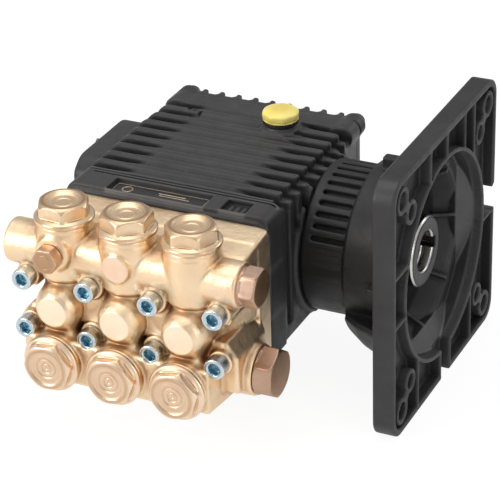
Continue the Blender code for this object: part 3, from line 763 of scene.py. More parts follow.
# ==================================================================== manifold
def add_manifold_body(cast):
    cast.add(prism("Y", round_rect((0, 43.9), (68, 43.9), 8), (-100, JOINT_Y), 1.2))
    slope = [(-108, 84.4), (-108, 100), (JOINT_Y + 2, 100), (JOINT_Y + 2, 87.8)]
    cast.cut(prism("X", convex(slope, 0.2), (-80, 80), 0.2), 0.8)
    brow = [(JOINT_Y, 87.8), (-117, 83.6), (-125, 76), (-125, 60), (JOINT_Y, 60)]
    cast.add(prism("X", convex(brow, 2.0), (-63, 67.8), 2.4), 2.5)
    cast.add(prism("Y", round_rect((0, 46), (57, 38), 8), (-127, -95), 2.0), 2.6)
    foot = [(-62, -97), (-58.4, -150.4), (58.4, -150.4), (61.5, -126), (62, -97)]
    cast.add(prism("Z", convex(foot, 1.0), (-2.6, 26), 2.2), 2.0)
    # the bar that links the three domes
    cast.add(block((-41, 41), (-138.6, -100), (33, 55.5), 3.0), 3.0)
    # galleries across the block
    cast.add(rod("X", OUTLET, 13.5, (-76, 72.8), 1.4), 1.4)
    cast.add(turned("X", INLET, [
        (-74, 0), (-74, 14.5), (-73, 15.5), (-62, 16), (62, 16),
        (74.4, 15.6), (75.4, 14.8), (75.6, 0)]), 1.6)
    for x in CYLINDER_X:
        # discharge barrel, inlet barrel and dome
        cast.add(turned("Z", (x, VALVE_Y), [
            (60.2, 0), (60.2, 13.2), (61.0, 15.2), (62.8, 16.4), (91.2, 16.6),
            (91.7, 16.2), (94.7, 16.2), (95.4, 15.4), (95.4, 0)]), 1.3)
        cast.add(turned("Y", (x, VALVE_Z), [
            (-153.8, 0), (-153.8, 16.2), (-153.0, 17.0), (-150.6, 17.1), (-150.1, 17.5),
            (-100, 17.5), (-100, 0)]), 1.4)
        cast.add(turned("Y", (x, AXIS_Z), [
            (-151.2, 0), (-151.2, 9.2), (-150.8, 9.7), (-149.0, 11.6), (-146.4, 13.2),
            (-142.5, 14.4), (-137, 15.0), (-126, 15.4), (-100, 16.2), (-100, 0)]), 0.6)
        # the discharge barrel runs down into its dome
        cast.add(rod("Z", (x, VALVE_Y), 13.0, (46, 66), 1.0), 3.4)
        cast.add(block((x - 10, x + 10), (-146.0, -120), (18, 42), 4.0), 3.6)
    for x, z in SCREWS:
        outer = abs(x) >= 50
        radius, end = (7.4, -126) if outer else (8.3, -98)
        cast.add(rod("Y", (x, z), radius, (-140.6, end), 0.9), 1.6)
        cast.add(rod("Y", (x, z), 6.6, (-136, -98), 0.9), 1.2)
    # shoulders that carry the outer screws, narrow above and sloping below
    upper = [(46, -132), (55.5, -132), (58.5, -124), (66.8, -103), (66.8, -92), (46, -92)]
    lower = [(48, 38.6), (63.4, 38.6), (70.6, 29.0), (70.6, 6), (48, 6)]
    for side in (-1, 1):
        outline = convex([(side * x, y) for x, y in upper], 1.0)
        cast.add(prism("Z", outline, (37.0, 66), 2.0), 2.2)
        outline = convex([(side * x, z) for x, z in lower], 1.2)
        cast.add(prism("Y", outline, (-136.0, -97), 2.0), 2.2)
    cast.add(rod("Y", FRONT_BOSS, 8.6, (-146.8, -120), 0.7), 2.4)
    cast.add(rod("Y", GAUGE, 11.0, (-147.2, -120), 2.6), 2.4)
    for x in (-62.4, 62.4):
        cast.add(rod("Y", (x, 51.6), 3.3, (-133, -100), 1.2), 1.2)


def cut_manifold_bores(cast):
    for x in CYLINDER_X:
        cast.cut(turned("Z", (x, VALVE_Y), [
            (44, 0), (44, 8), (58, 8), (58, 11.6), (84, 11.6), (84, 13.3), (106, 13.3),
            (106, 0)]))
        cast.cut(turned("Y", (x, AXIS_Z), [
            (-138, 0), (-138, 9.4), (-90.5, 9.4), (-90.5, 13), (-74, 13), (-74, 0)]))
        cast.cut(turned("Y", (x, VALVE_Z), [
            (-161, 0), (-161, 13.3), (-142, 13.3), (-142, 11.6), (-122, 11.6), (-122, 8),
            (-115, 8), (-115, 0)]))
        cast.cut(rod("Z", (x, -134.5), 5.5, (VALVE_Z, AXIS_Z), 0.5))
    for centre in SCREWS:
        cast.cut(rod("Y", centre, 4.25, (-154, -74), 0.2))
    cast.cut(turned("X", OUTLET, [
        (-90, 0), (-90, 9.5), (-64, 9.5), (-64, 6.5), (61, 6.5), (61, 9.3), (90, 9.3), (90, 0)]))
    cast.cut(turned("X", INLET, [
        (-90, 0), (-90, 11), (-62, 11), (-62, 8), (62, 8), (62, 10.3), (90, 10.3), (90, 0)]))
    cast.cut(rod("Y", GAUGE, 5.0, (-160, VALVE_Y), 0.2))
    # chamfered mouths of the two ports at the left end
    cast.cut(turned("X", OUTLET, [
        (-80, 0), (-80, 13.5), (-76, 10.6), (-74.5, 9.3), (-74.5, 0)]))
    cast.cut(turned("X", INLET, [
        (-78, 0), (-78, 15.0), (-74, 12.2), (-72.5, 10.8), (-72.5, 0)]))


def build_manifold():
    cast = Casting((-76.2, 75.8, -154, JOINT_Y, -8, 95.6), 0.70)
    add_manifold_body(cast)
    cut_manifold_bores(cast)
    faced = [
        turned_metal(
            f"brass_faced_{i}", "Y", (x, AXIS_Z), (0.96, 0.82, 0.64), (0.92, 0.74, 0.54),
            rough=0.42, pitch=1500,
        )
        for i, x in enumerate(CYLINDER_X, 1)
    ]
    faced.append(turned_metal(
        "brass_faced_boss", "Y", FRONT_BOSS, (0.90, 0.66, 0.49), (0.84, 0.58, 0.42),
        rough=0.38, pitch=1500,
    ))

    def pick(centres, normals):
        chosen = np.zeros(len(centres))
        front = normals[:, 1] < -0.93
        for i, x in enumerate(CYLINDER_X, 1):
            on_dome = off_axis(centres, "Y", (x, AXIS_Z)) < 9.6
            chosen[front & (centres[:, 1] < -150) & on_dome] = i
        on_boss = off_axis(centres, "Y", FRONT_BOSS) < 9
        chosen[front & (centres[:, 1] < -146) & on_boss] = 4
        return chosen

    piece(Skin(cast, 120000), "manifold_block", [FORGED_BRASS] + faced, "manifold", pick)


# ==================================================================== crankcase
GROOVE_Y = range(-55, 42, 12)
# stations along a groove: x, height of its floor, half width
GROOVE_STATIONS = [
    (-80, CASE_TOP + 3, 0.5), (-65.5, CASE_TOP + 3, 0.5), (-64, 88.0, 2.4), (-59, 84.2, 3.3),
    (-45, 85.4, 3.3), (-38, 89.6, 2.7), (-34, 91.7, 2.2), (31, 91.7, 2.2),
    (36, 89.6, 2.7), (43, 85.6, 3.3), (49, 84.2, 3.5), (80, 84.2, 3.5),
]


def around_shaft(radius, angle):
    return radius * math.cos(angle), AXIS_Z + radius * math.sin(angle)


def bolt_circle(radius):
    return [around_shaft(radius, math.radians(30 + 60 * k)) for k in range(6)]


def lean(Y):
    """How far the sides of the case have leaned in at Y."""
    return np.clip((Y - 10) / 48, 0, 1) * 4.0


def case_body():
    """Main body: sides lean in towards the back, upper corners well rounded."""
    start = CASE_FRONT + 1.5

    def field(X, Y, Z):
        wide, middle = np.abs(X) + lean(Y), CASE_TOP / 2
        upper = rounded((wide, Z), (0, middle), (CASE_HALF, middle), 8.0)
        lower = np.maximum(wide - CASE_HALF, -Z)
        length = np.abs(Y - (start + CASE_BACK) / 2) - (CASE_BACK - CASE_FRONT - 1.5) / 2
        return rim(np.where(Z < middle, lower, upper), length, 1.2)

    return (-67, 67, start, CASE_BACK, 0, CASE_TOP), field


def cut_case_grooves(cast):
    """Cooling grooves over the top, deep at both ends, and down the right side."""
    along, floor, width = np.array(GROOVE_STATIONS, float).T
    for y in GROOVE_Y:

        def groove(X, Y, Z):
            bottom = np.interp(X, along, floor).astype(np.float32)
            half = np.interp(X, along, width).astype(np.float32)
            return soft_max(np.abs(Y - y) - half, bottom - Z, 1.6)

        cast.cut(((-64.5, 70, y - 3.4, y + 3.4, 84, 99), groove), 2.0)
        if y < 40:
            low = 66 if y > -46 else 10

            def side(X, Y, Z):
                across = soft_max(np.abs(Y - y) - 3.0, (62.6 - lean(Y)) - X, 1.2)
                return soft_max(across, low - Z, 2.0)

            cast.cut(((58, 72, y - 3.2, y + 3.2, low, 99), side), 2.0)
    # fine cast lines between the grooves, along the middle of the top
    for y in GROOVE_Y[:-1]:
        heights = (CASE_TOP - 0.55, CASE_TOP + 6)
        cast.cut(block((-43, 41), (y + 5.4, y + 6.6), heights, 0.3), 0.8)


def add_case_details(cast):
    # joint lines behind and over the front flange
    front = CASE_FRONT
    cast.cut(block((-66, 69), (front + 22.4, front + 23.7), (89.2, 99), 0.4), 1.0)
    cast.cut(block((-57, 63), (front + 19.2, front + 21.0), (89.3, 95), 0.4), 0.8)
    # ears for the rear cover's screws
    for x in (-57.5, 57.5):
        for z in (86.5, 8.0):
            cast.add(rod("Y", (x, z), 7.5, (CASE_BACK - 14, CASE_BACK), 1.2), 2.0)
    cast.keep((None, lambda X, Y, Z: -Z), 0.4)  # flat base at z = 0
    # oil filler neck
    cast.add(rod("Z", FILLER, 12.6, (84, 94.2), 1.0), 2.0)
    cast.add(rod("Z", FILLER, 11.0, (84, 96.0), 0.5), 0.6)
    # frame of the blank rating plate and a plain square boss beside it
    cast.add(block((-40.5, 25.6), (-82.6, -66.2), (88, 90.9), 0.4), 0.6)
    cast.cut(block((-39.4, 24.5), (-81.6, -67.2), (89.9, 95), 0.25), 0.3)
    cast.add(block((33.6, 52.4), (-82.0, -66.4), (88, 90.9), 0.4), 0.6)
    cast.cut(block((34.8, 51.2), (-80.9, -67.5), (89.7, 95), 0.25), 0.3)
    for k in range(3):
        bar = (37.4 + 4.2 * k, 40.0 + 4.2 * k)
        cast.add(block(bar, (-78.0, -70.2), (88.6, 90.8), 0.35), 0.4)
    # shallow straight marks at the top rear left
    for x_span, y_span in (
        ((-44, -38), (35.2, 37.0)), ((-37.5, -33), (25.0, 26.8)), ((-34.8, -33.2), (25.0, 36.0))
    ):
        cast.cut(block(x_span, y_span, (91.0, 99), 0.3), 0.6)
    # small blind holes by the closed bearing end
    for y, radius in ((-31.0, 2.2), (-20.5, 1.3), (-6.8, 1.4), (3.2, 2.4)):
        cast.cut(rod("Z", (-63.8, y), radius, (84, 99), 0.3), 0.7)


def cut_case_inside(cast):
    cast.cut(block((-56, 56), (-62, CASE_BACK + 20), (8, 80), 2.0))
    for x in CYLINDER_X:
        cast.cut(rod("Y", (x, AXIS_Z), 13.0, (CASE_FRONT - 9, -53), 0.3))
    cast.cut(rod("X", SHAFT, 38.0, (50, 90), 0.3))
    cast.cut(rod("X", SHAFT, 31.3, (LEFT_END - 9, -50), 0.3))
    cast.cut(rod("Z", FILLER, 8.0, (70, 110), 0.3), 0.5)
    for centre in SCREWS:
        cast.cut(rod("Y", centre, 4.3, (CASE_FRONT - 9, CASE_FRONT + 18), 0.3))
    # holes in the base and in the left end
    for x in (-50, 50):
        for y in (-70, 44):
            cast.cut(rod("Z", (x, y), 4.2, (-9, 7.0), 0.3), 0.6)
    for centre in bolt_circle(33.3):
        cast.cut(rod("X", centre, 1.1, (LEFT_END - 5, LEFT_END + 3), 0.2))


def build_crankcase():
    cast = Casting((LEFT_END, 69.1, CASE_FRONT, CASE_BACK, 0, 96), 0.80)
    cast.add(case_body())
    front_flange = round_rect((0, 38), (68, 52), 10)
    cast.add(prism("Y", front_flange, (CASE_FRONT, CASE_FRONT + 21.5), 1.6), 1.0)
    # housing of the closed bearing end
    octagon = [(-38, 8), (38, 8), (38, 74), (28, 82), (-28, 82), (-38, 74)]
    cast.add(prism("X", convex(octagon, 3.0), (LEFT_END, -60), 2.2), 2.5)
    # pad that carries the engine adaptor
    cast.add(rod("X", SHAFT, 49.0, (50, 69.0), 1.2), 2.0)
    cast.cut(block((60, 80), (-60, 60), (88.5, 110), 0.5), 1.0)
    cut_case_grooves(cast)
    add_case_details(cast)
    cut_case_inside(cast)
    piece(Skin(cast, 150000), "crankcase_casting", [PAINT_CASE], "crankcase")


# =================================================================== rear cover
def build_rear_cover():
    y = COVER_Y
    cast = Casting((-65.2, 65.2, y, y + 13, 0, 94.2), 0.62)
    cast.add(prism("Y", round_rect((0, 46), (62, 45.5), 8), (y, y + 7), 1.3))
    for i in range(9):
        x = (i - 4) * 11.9
        cast.add(block((x - 1.9, x + 1.9), (y + 3, y + 12), (5.5, 91.6), 1.5), 2.2)
    for corner in COVER_CORNERS:
        cast.add(rod("Y", corner, 7.5, (y, y + 9), 1.2), 2.0)
    for centre, radius in ((SHAFT, 17.5), (DRAIN, 10.5)):
        cast.add(rod("Y", centre, radius, (y, y + 9.6), 1.5), 1.6)
    cast.cut(rod("Y", SHAFT, 10.0, (y - 9, y + 20), 0.3), 0.5)
    cast.cut(rod("Y", SHAFT, 14.2, (y + 8.0, y + 20), 0.3), 0.3)
    cast.cut(rod("Y", DRAIN, 6.0, (y - 9, y + 20), 0.3), 0.5)
    for corner in COVER_CORNERS:
        cast.cut(rod("Y", corner, 3.3, (y - 5, y + 20), 0.2), 0.3)
    piece(Skin(cast, 46000), "rear_cover_casting", [PAINT_COVER], "rear_cover")


# ================================================================ engine flange
NECK_START = 69.3
PLATE_BACK = FLANGE_FACE - 13.4
POCKET_FLOOR = FLANGE_FACE - 7.5
OUTER_HOLES, INNER_HOLES = [
    [(side * offset, AXIS_Z + level * offset) for side in (-1, 1) for level in (-1, 1)]
    for offset in (69.6, 56.3)
]
# ribs left standing between the pockets of the face: y0, y1, z0, z1
FACE_RIBS = [
    (-1.3, 1.3, 100, 130), (-27.4, -24.8, 90, 130), (28.8, 31.4, 90, 130),
    (44.4, 47.0, 90, 130), (-90, -60, 34.2, 36.8), (60, 90, 34.6, 37.2),
    (-90, -60, 66.6, 69.0), (-8.4, -5.4, -45, -12), (8.0, 11.0, -45, -12),
    (-45.6, -43.0, -45, -4), (43.0, 45.6, -45, -4),
]


def shaft_box(start, end, reach):
    return start, end, -reach, reach, AXIS_Z - reach, AXIS_Z + reach


def spoke(angle, span, radius, reach, field):
    """Shape on a ray from the shaft axis; its field takes X, out along the ray and across."""
    cos, sin = math.cos(angle), math.sin(angle)
    y, z = around_shaft(radius, angle)

    def turned_field(X, Y, Z):
        return field(X, Y * cos + (Z - AXIS_Z) * sin, -Y * sin + (Z - AXIS_Z) * cos)

    return (*span, y - reach, y + reach, z - reach, z + reach), turned_field


def neck_groove(X, out, across):
    sides = soft_max(np.abs(across) - 1.55, 43.2 - out, 0.8)
    return soft_max(sides, np.abs(X - 85.8) - 10.6, 1.4)


def bell_rib(X, out, across):
    height = 45.6 + (X - 121) * 0.56
    ends = np.maximum(np.maximum(X - 131.4, out - 60), 117.5 - X)
    return soft_max(soft_max(np.abs(across) - 1.3, (height - out) * 0.87, 0.4), ends, 0.4)


def flange_sump():
    """Wider bell on the lower side only."""
    box, field = turned("X", SHAFT, [
        (90, 0), (90, 44), (96, 46), (100, 57.5), (110, 64), (120, 68), (129, 71.5),
        (136, 74), (136, 0)])
    return box, lambda X, Y, Z: soft_max(field(X, Y, Z), Z - (AXIS_Z - 24), 4.0)


def flange_hollow():
    """Inside of the bell: a cone, then four flats that open to the round pilot."""
    end = FLANGE_FACE + 9
    box, cone = turned("X", SHAFT, [
        (NECK_START - 20, 0), (NECK_START - 20, 29), (74, 29), (74, 34.2), (89.6, 34.2),
        (89.6, 26.2), (107, 26.2), (107, 30.5), (104, 31.5), (104, 42), (106, 44),
        (118, 47.6), (131, 55.0), (131.2, 62.9), (138.5, 62.9), (138.7, 63.4),
        (end, 63.4), (end, 0)])

    def field(X, Y, Z):
        wide = 52 + np.maximum(X - 131, 0) * 1.467
        shrink = np.where(X > 131, 0.563, 1.0)
        flats = np.maximum(np.abs(Y) - wide, np.abs(Z - AXIS_Z) - wide) * shrink
        return np.maximum(cone(X, Y, Z), flats)

    return box, field


def face_pockets():
    """Open pockets of the face, clear of the pilot ring, the bosses and the ribs."""
    half = FLANGE_HALF
    border = round_rect(SHAFT, (half - 4.2, half - 4.2), 10)
    bosses = [(hole, 8.6, 1.0) for hole in OUTER_HOLES]
    bosses += [(hole, 7.6, 1.0) for hole in INNER_HOLES]
    fillers = [
        ((y * 0.9, AXIS_Z + (z - AXIS_Z) * 0.9), 3.2, 1.5) for y, z in OUTER_HOLES
    ]

    def field(X, Y, Z):
        def spare(pocket, rounds):
            for centre, radius, fillet in rounds:
                pocket = soft_max(pocket, radius - distance(centre, Y, Z), fillet)
            return pocket

        pocket = spare(border[1](Y, Z), [(SHAFT, 65.8, 1.0)] + bosses)
        for y0, y1, z0, z1 in FACE_RIBS:
            bar = np.maximum(
                np.abs(Y - (y0 + y1) / 2) - (y1 - y0) / 2,
                np.abs(Z - (z0 + z1) / 2) - (z1 - z0) / 2,
            )
            pocket = soft_max(pocket, -bar, 0.6)
        return rim(spare(pocket, fillers), POCKET_FLOOR - X, 1.0)

    return shaft_box(POCKET_FLOOR, FLANGE_FACE + 5, half), field


def pick_flange(centres, normals):
    """0 plate, 1 bell and pocket floors in painted shade, 2 flats in painted highlight, 3 neck in
    deeper painted shade.
    """
    x = centres[:, 0]
    radius = off_axis(centres, "X", SHAFT)
    wide = np.maximum(np.abs(centres[:, 1]), np.abs(centres[:, 2] - AXIS_Z))
    chosen = ((x < 130.8) | ((radius > 64) & (x < 138.4) & (wide < 79.5))).astype(int)
    slanted = (normals[:, 0] > 0.3) & (normals[:, 0] < 0.95)
    chosen[(x > 131.2) & (x < 138.6) & (radius < 63) & slanted & (wide > 50)] = 2
    chosen[(x < 128) & (radius > 46.5)] = 3
    return chosen


def build_flange():
    half = FLANGE_HALF
    through = (PLATE_BACK - 9, FLANGE_FACE + 9)
    cast = Casting(shaft_box(62.3, FLANGE_FACE, half), 0.85)
    cast.add(prism("X", round_rect(SHAFT, (half, half), 13), (PLATE_BACK, FLANGE_FACE), 0.9))
    cast.add(turned("X", SHAFT, [
        (NECK_START, 0), (NECK_START, 46), (70.3, 47), (97, 47), (99, 51.5), (120, 53.5),
        (128, 60), (136, 72), (136, 0)]), 3.0)
    cast.add(flange_sump(), 3.0)
    cast.add(rod("X", SHAFT, 37.6, (NECK_START - 7, NECK_START + 3), 0.6))
    # lug on top of the bell
    cast.add(block((104.8, 134), (-3.2, 3.2), (88, 103.8), 1.0), 1.6)
    for k in range(3, 16):
        cast.cut(spoke(math.radians(18 + 9.2 * k), (75, 97), 45, 6, neck_groove), 1.2)
    cast.cut(flange_hollow(), 0.4)
    for k in range(8):
        cast.add(spoke(math.radians(45 * k), (116, 132), 50, 12, bell_rib), 0.6)
    cast.cut(face_pockets(), 0.5)
    for holes, radius in ((OUTER_HOLES, 5.7), (INNER_HOLES, 4.9)):
        for hole in holes:
            cast.cut(rod("X", hole, radius, through, 0.3), 0.7)
    # channel in the lower edge of the face and notch in the rear edge (+Y)
    channel = (FLANGE_FACE - 7, FLANGE_FACE + 9)
    cast.cut(block(channel, (-5, 8), (-60, AXIS_Z - 59), 0.8), 0.8)
    notch = [(half + 9, 60), (half + 9, 37.0), (half - 6.0, 37.0), (half - 6.0, 50.5)]
    cast.cut(prism("X", convex(notch, 0.4), through, 0.4), 0.8)
    # counterbores behind the plate
    for hole in OUTER_HOLES:
        cast.cut(rod("X", hole, 9.0, (PLATE_BACK - 6, PLATE_BACK + 1.0), 0.3), 0.5)
    mats = [PAINT_FLANGE, PAINT_BELL_SHADE, PAINT_FLATS_LIT, PAINT_NECK_SHADE]
    piece(Skin(cast, 150000), "engine_adaptor", mats, "engine_flange", pick_flange)


# ================================================================== valve plugs
# Points are (along, radius); those of corner and face run from the free end.
CUP_PLUG = dict(
    height=12.1,
    collar=[(3.0, 40), (3.6, 15.9)],
    corner=[(-3.0, 15.9), (-1.5, 14.9), (-0.5, 13.8), (0, 12.8), (0, 0)],
    face=[
        (4, 0), (4, 12.0), (-0.1, 11.4), (-0.9, 10.6), (-1.9, 9.0), (-2.2, 8.0),
        (-2.25, 6.0), (-1.9, 5.5), (-1.9, 4.7), (-2.3, 4.2), (-2.3, 0),
    ],
    fillets=(0.35, 0.35),
)
RINGED_PLUG = dict(
    height=8.8,
    collar=[(2.6, 40), (3.2, 15.9)],
    corner=[(-2.4, 15.9), (-1.2, 14.8), (-0.4, 13.6), (0, 12.6), (0, 0)],
    face=[
        (4, 0), (4, 12.2), (-0.1, 11.3), (-0.9, 10.5), (-1.1, 8.9), (-0.8, 8.3),
        (-0.8, 6.8), (-1.5, 6.1), (-1.0, 5.4), (-1.05, 3.5), (-1.6, 3.0), (-1.1, 2.3),
        (-1.1, 1.0), (-1.5, 0.6), (-1.5, 0),
    ],
    fillets=(0.3, 0.2),
)


def valve_plug_skin(height, collar, corner, face, fillets):
    """Hex plug with a round collar and a dished face; z 0 is the seat under the collar."""

    def from_top(points):
        return [(height + along, radius) for along, radius in points]

    cast = Casting((-18.1, 18.1, -18.1, 18.1, -8.7, height + 0.2), 0.34)
    cast.add(turned("Z", CENTRE, [
        (0, 0), (0, 17.1), (0.5, 17.8), (2.2, 17.8), (3.0, 17.0), (4.0, 15.4), (4.0, 0)]))
    cast.add(prism("Z", polygon(3, 28.0, 0.0, soften=0.25), (2, height), 0.3), 0.5)
    outline = [(-9, 0), (-9, 40)] + collar + from_top(corner)
    cast.keep(turned("Z", CENTRE, outline), fillets[0])
    cast.cut(turned("Z", CENTRE, from_top(face)), fillets[1])
    cast.add(turned("Z", CENTRE, [
        (1, 0), (1, 11.9), (-1, 11.9), (-1.2, 12.9), (-8.0, 12.9), (-8.7, 12.2), (-8.7, 0)]))
    cast.cut(rod("Z", CENTRE, 7.4, (-20, -0.7), 0.5))
    return Skin(cast, 17000)


def build_valve_plugs():
    skin = valve_plug_skin(**CUP_PLUG)
    for i, (x, turn) in enumerate(zip(CYLINDER_X, (25, 6, 40)), 1):
        node = f"discharge_valve_plug_{i}"
        z = end_of(node, HIGH, "Z") - 11.7
        metal = turned_metal(
            f"brass_turned_top_{i}", "Z", (x, VALVE_Y), BRASS, BRASS_DEEP, rough=0.30, pitch=1500
        )
        placed = skin.placed("Z", (x, VALVE_Y, z), math.radians(turn))
        piece(placed, f"discharge_plug_{i}_turned", [metal], node)
    skin = valve_plug_skin(**RINGED_PLUG)
    for i, (x, turn) in enumerate(zip(CYLINDER_X, (38, 38, 44)), 1):
        node = f"inlet_valve_plug_{i}"
        y = end_of(node, LOW, "Y") + 10.7 - 2.8
        metal = turned_metal(
            f"brass_turned_bottom_{i}", "Y", (x, VALVE_Z), (0.88, 0.69, 0.50),
            (0.80, 0.59, 0.42), rough=0.34, pitch=1500,
        )
        placed = skin.placed("-Y", (x, y, VALVE_Z), math.radians(turn))
        piece(placed, f"inlet_plug_{i}_turned", [metal], node)


# ============================================================= plugs and screws
def ball(height, radius):
    """Ball about a point on the Z axis, without a box; used to round hexagon corners."""
    return None, lambda X, Y, Z: np.sqrt(X**2 + Y**2 + (Z - height) ** 2) - radius


def hex_plug_skin(flats, height, thread, length, washer):
    """Threaded hexagon plug; z 0 is under the washer and thread is the thread's radius."""
    reach = flats * 0.6
    step = 0.34 if flats > 16 else 0.26
    cast = Casting((-reach, reach, -reach, reach, -length - 0.2, height + 0.2), step)
    cast.add(prism("Z", polygon(3, flats, 0.0, soften=0.7), (washer, height), 0.4))
    cast.keep(ball(height - flats * 0.78, flats * 0.925), 0.5)
    cast.add(rod("Z", CENTRE, flats * 0.53, (0, washer + 0.2), 0.4), 0.4)

    def screwed(X, Y, Z):
        turn = np.arctan2(Y, X) / (2 * math.pi)
        wave = np.abs(((Z / 1.6 + turn) % 1.0) - 0.5) * 2
        side = distance(CENTRE, X, Y) - (thread - 0.75 * wave)
        return rim(side, np.abs(Z + (length - 1) / 2) - (length + 1) / 2, 0.4) * 0.8

    cast.add(((-thread, thread, -thread, thread, -length, 1), screwed))
    if flats < 16:  # ring cut in the face of the small plug
        cast.cut(turned("Z", CENTRE, [
            (height + 5, flats * 0.33), (height - 0.25, flats * 0.31),
            (height - 0.25, flats * 0.28), (height + 5, flats * 0.26)]), 0.15)
    return Skin(cast, 12000)


def build_port_plugs():
    node = "outlet_gallery_plug"
    metal = turned_metal(
        "bronze_outlet", "X", OUTLET, BRONZE, BRONZE_DEEP, rough=0.33, pitch=1800
    )
    skin = hex_plug_skin(flats=21.2, height=11.4, thread=8.9, length=10.2, washer=1.8)
    point = (end_of(node, HIGH, "X") - 12.0, *OUTLET)
    piece(skin.placed("X", point, math.radians(36)), f"{node}_turned", [metal], node)

    node = "inlet_gallery_plug"
    metal = turned_metal(
        "bronze_inlet", "X", INLET, (0.50, 0.325, 0.235), BRONZE_DEEP, rough=0.33, pitch=1800
    )
    skin = hex_plug_skin(flats=27.6, height=11.7, thread=9.9, length=13.2, washer=0.8)
    point = (end_of(node, HIGH, "X") - 11.7, *INLET)
    piece(skin.placed("X", point, math.radians(55)), f"{node}_turned", [metal], node)

    node = "gauge_port_plug"
    metal = turned_metal(
        "bronze_gauge", "Y", GAUGE, (0.78, 0.575, 0.44), (0.62, 0.42, 0.31),
        rough=0.34, pitch=2200,
    )
    skin = hex_plug_skin(flats=14.4, height=8.0, thread=4.7, length=7.8, washer=0.4)
    point = (GAUGE[0], end_of(node, LOW, "Y") + 8.0, 79.4)
    piece(skin.placed("-Y", point, math.radians(29)), "gauge_plug_turned", [metal], node)


def cap_screw_skin():
    """Socket head screw; z 0 is under the head."""
    cast = Casting((-6.6, 6.6, -6.6, 6.6, -72.2, 8.1), 0.33)
    cast.add(rod("Z", CENTRE, 6.35, (0, 8.0), 0.8))

    def knurl(X, Y, Z):
        teeth = 6.42 + 0.14 * np.cos(40 * np.arctan2(Y, X))
        return rim(distance(CENTRE, X, Y) - teeth, np.abs(Z - 3.1) - 3.0, 0.3)

    cast.add(((-6.6, 6.6, -6.6, 6.6, 0, 6.2), knurl), 0.2)
    cast.add(rod("Z", CENTRE, 4.0, (-72, 1), 0.8), 0.3)
    cast.cut(prism("Z", polygon(3, 6.4, math.radians(15), soften=0.4), (3.6, 12), 0.3), 0.3)
    cast.cut(turned("Z", CENTRE, [(9.2, 0), (9.2, 5.4), (7.2, 3.4), (7.2, 0)]), 0.3)
    return Skin(cast, 6000)


def build_cap_screws():
    skin = cap_screw_skin()
    for k, (x, z) in enumerate(SCREWS):
        node = f"manifold_screw_{k + 1}"
        y = end_of(node, LOW, "Y") + 8.0
        metals = [
            screw_metal(f"zinc_{k + 1}", (x, z), socket_shade=False),
            screw_metal(f"zinc_socket_{k + 1}", (x, z), socket_shade=True),
        ]

        def pick_socket(centres, normals):
            depth = centres[:, 1]
            near = off_axis(centres, "Y", (x, z)) < 3.75
            return (near & (depth < y - 2.5) & (depth > y - 7.6)).astype(int)

        placed = skin.placed("-Y", (x, y, z), math.radians(17 * k))
        piece(placed, f"cap_screw_{k + 1}", metals, node, pick_socket)


def small_screw_skin(radius, height, socket):
    cast = Casting(
        (-radius - 0.1, radius + 0.1, -radius - 0.1, radius + 0.1, -5, height + 0.1), 0.3
    )
    cast.add(rod("Z", CENTRE, radius, (0, height), 0.6))
    cast.add(rod("Z", CENTRE, radius * 0.55, (-5, 1), 0.3))
    hexagon = polygon(3, socket, 0.3, soften=0.3)
    cast.cut(prism("Z", hexagon, (height * 0.45, height + 5), 0.2), 0.2)
    cast.cut(turned("Z", CENTRE, [
        (height + 1, 0), (height + 1, socket * 0.75), (height - 0.5, socket * 0.5),
        (height - 0.5, 0)]), 0.2)
    return Skin(cast, 3500)


def build_small_screws():
    """Screws of the rear cover and of the bearing cover."""
    metal = turned_metal(
        "steel_blackened", "Y", CENTRE, (0.20, 0.20, 0.21), (0.11, 0.11, 0.115),
        rough=0.34, pitch=900, hollow=HOLLOW_SHADE_BLACK,
    )
    skin = small_screw_skin(radius=5.2, height=4.6, socket=4.0)
    for n, (x, z) in enumerate(COVER_CORNERS, 1):
        placed = skin.placed("Y", (x, CASE_BACK + 9.35, z), 0.2 * n)
        piece(placed, f"cover_screw_{n}", [metal])
    skin = small_screw_skin(radius=2.4, height=1.6, socket=1.8)
    for n, centre in enumerate(bolt_circle(33.0), 1):
        placed = skin.placed("-X", (LEFT_END - 1.6, *centre))
        piece(placed, f"bearing_cover_screw_{n}", [metal])


# ==================================================== oil cap and rating plate
def build_oil_cap():
    """Cap with a dipstick; it lifts straight out of the filler."""
    base = 96.3
    tip = end_of("oil_cap", LOW, "Z") - base
    top = end_of("oil_cap", HIGH, "Z") - base
    cast = Casting((-12.2, 12.2, -12.2, 12.2, tip, top), 0.42)
    _, octagon = polygon(4, 22.6, math.radians(22.5 * 0.6), soften=1.6)

    def crown(X, Y, Z):
        side = soft_max(octagon(X, Y), distance(CENTRE, X, Y) - 11.8, 1.0)
        return rim(side, np.abs(Z - 5.6) - 2.3, 1.5)

    cast.add(((-12, 12, -12, 12, 2.5, 8.4), crown))
    cast.add(turned("Z", CENTRE, [
        (7.2, 0), (7.2, 9.4), (8.2, 8.8), (9.0, 7.0), (9.5, 4.2), (9.6, 0)]), 2.6)
    cast.add(rod("Z", CENTRE, 11.2, (0.0, 3.4), 0.6), 0.5)
    cast.add(rod("Z", CENTRE, 7.5, (-12.5, 1), 0.6), 0.3)
    cast.add(rod("Z", CENTRE, 1.6, (tip, -11), 0.4), 0.4)
    black = mottled(
        "plastic_black", ((0.014, 0.014, 0.015), (0.026, 0.026, 0.027)),
        patch=dict(scale=220),
        sheen=dict(scale=500, detail=2, low=0.38, high=0.52),
        grain=dict(scale=1400, detail=2, strength=0.2, depth=0.0002),
    )

    def pick_base(centres, normals):
        return (centres[:, 2] < base + 2.7).astype(int)

    skin = Skin(cast, 22000).placed("Z", (*FILLER, base))
    mats = [yellow_plastic(), black]
    piece(skin, "oil_cap_moulded", mats, "oil_cap", pick_base, body="oil_cap")


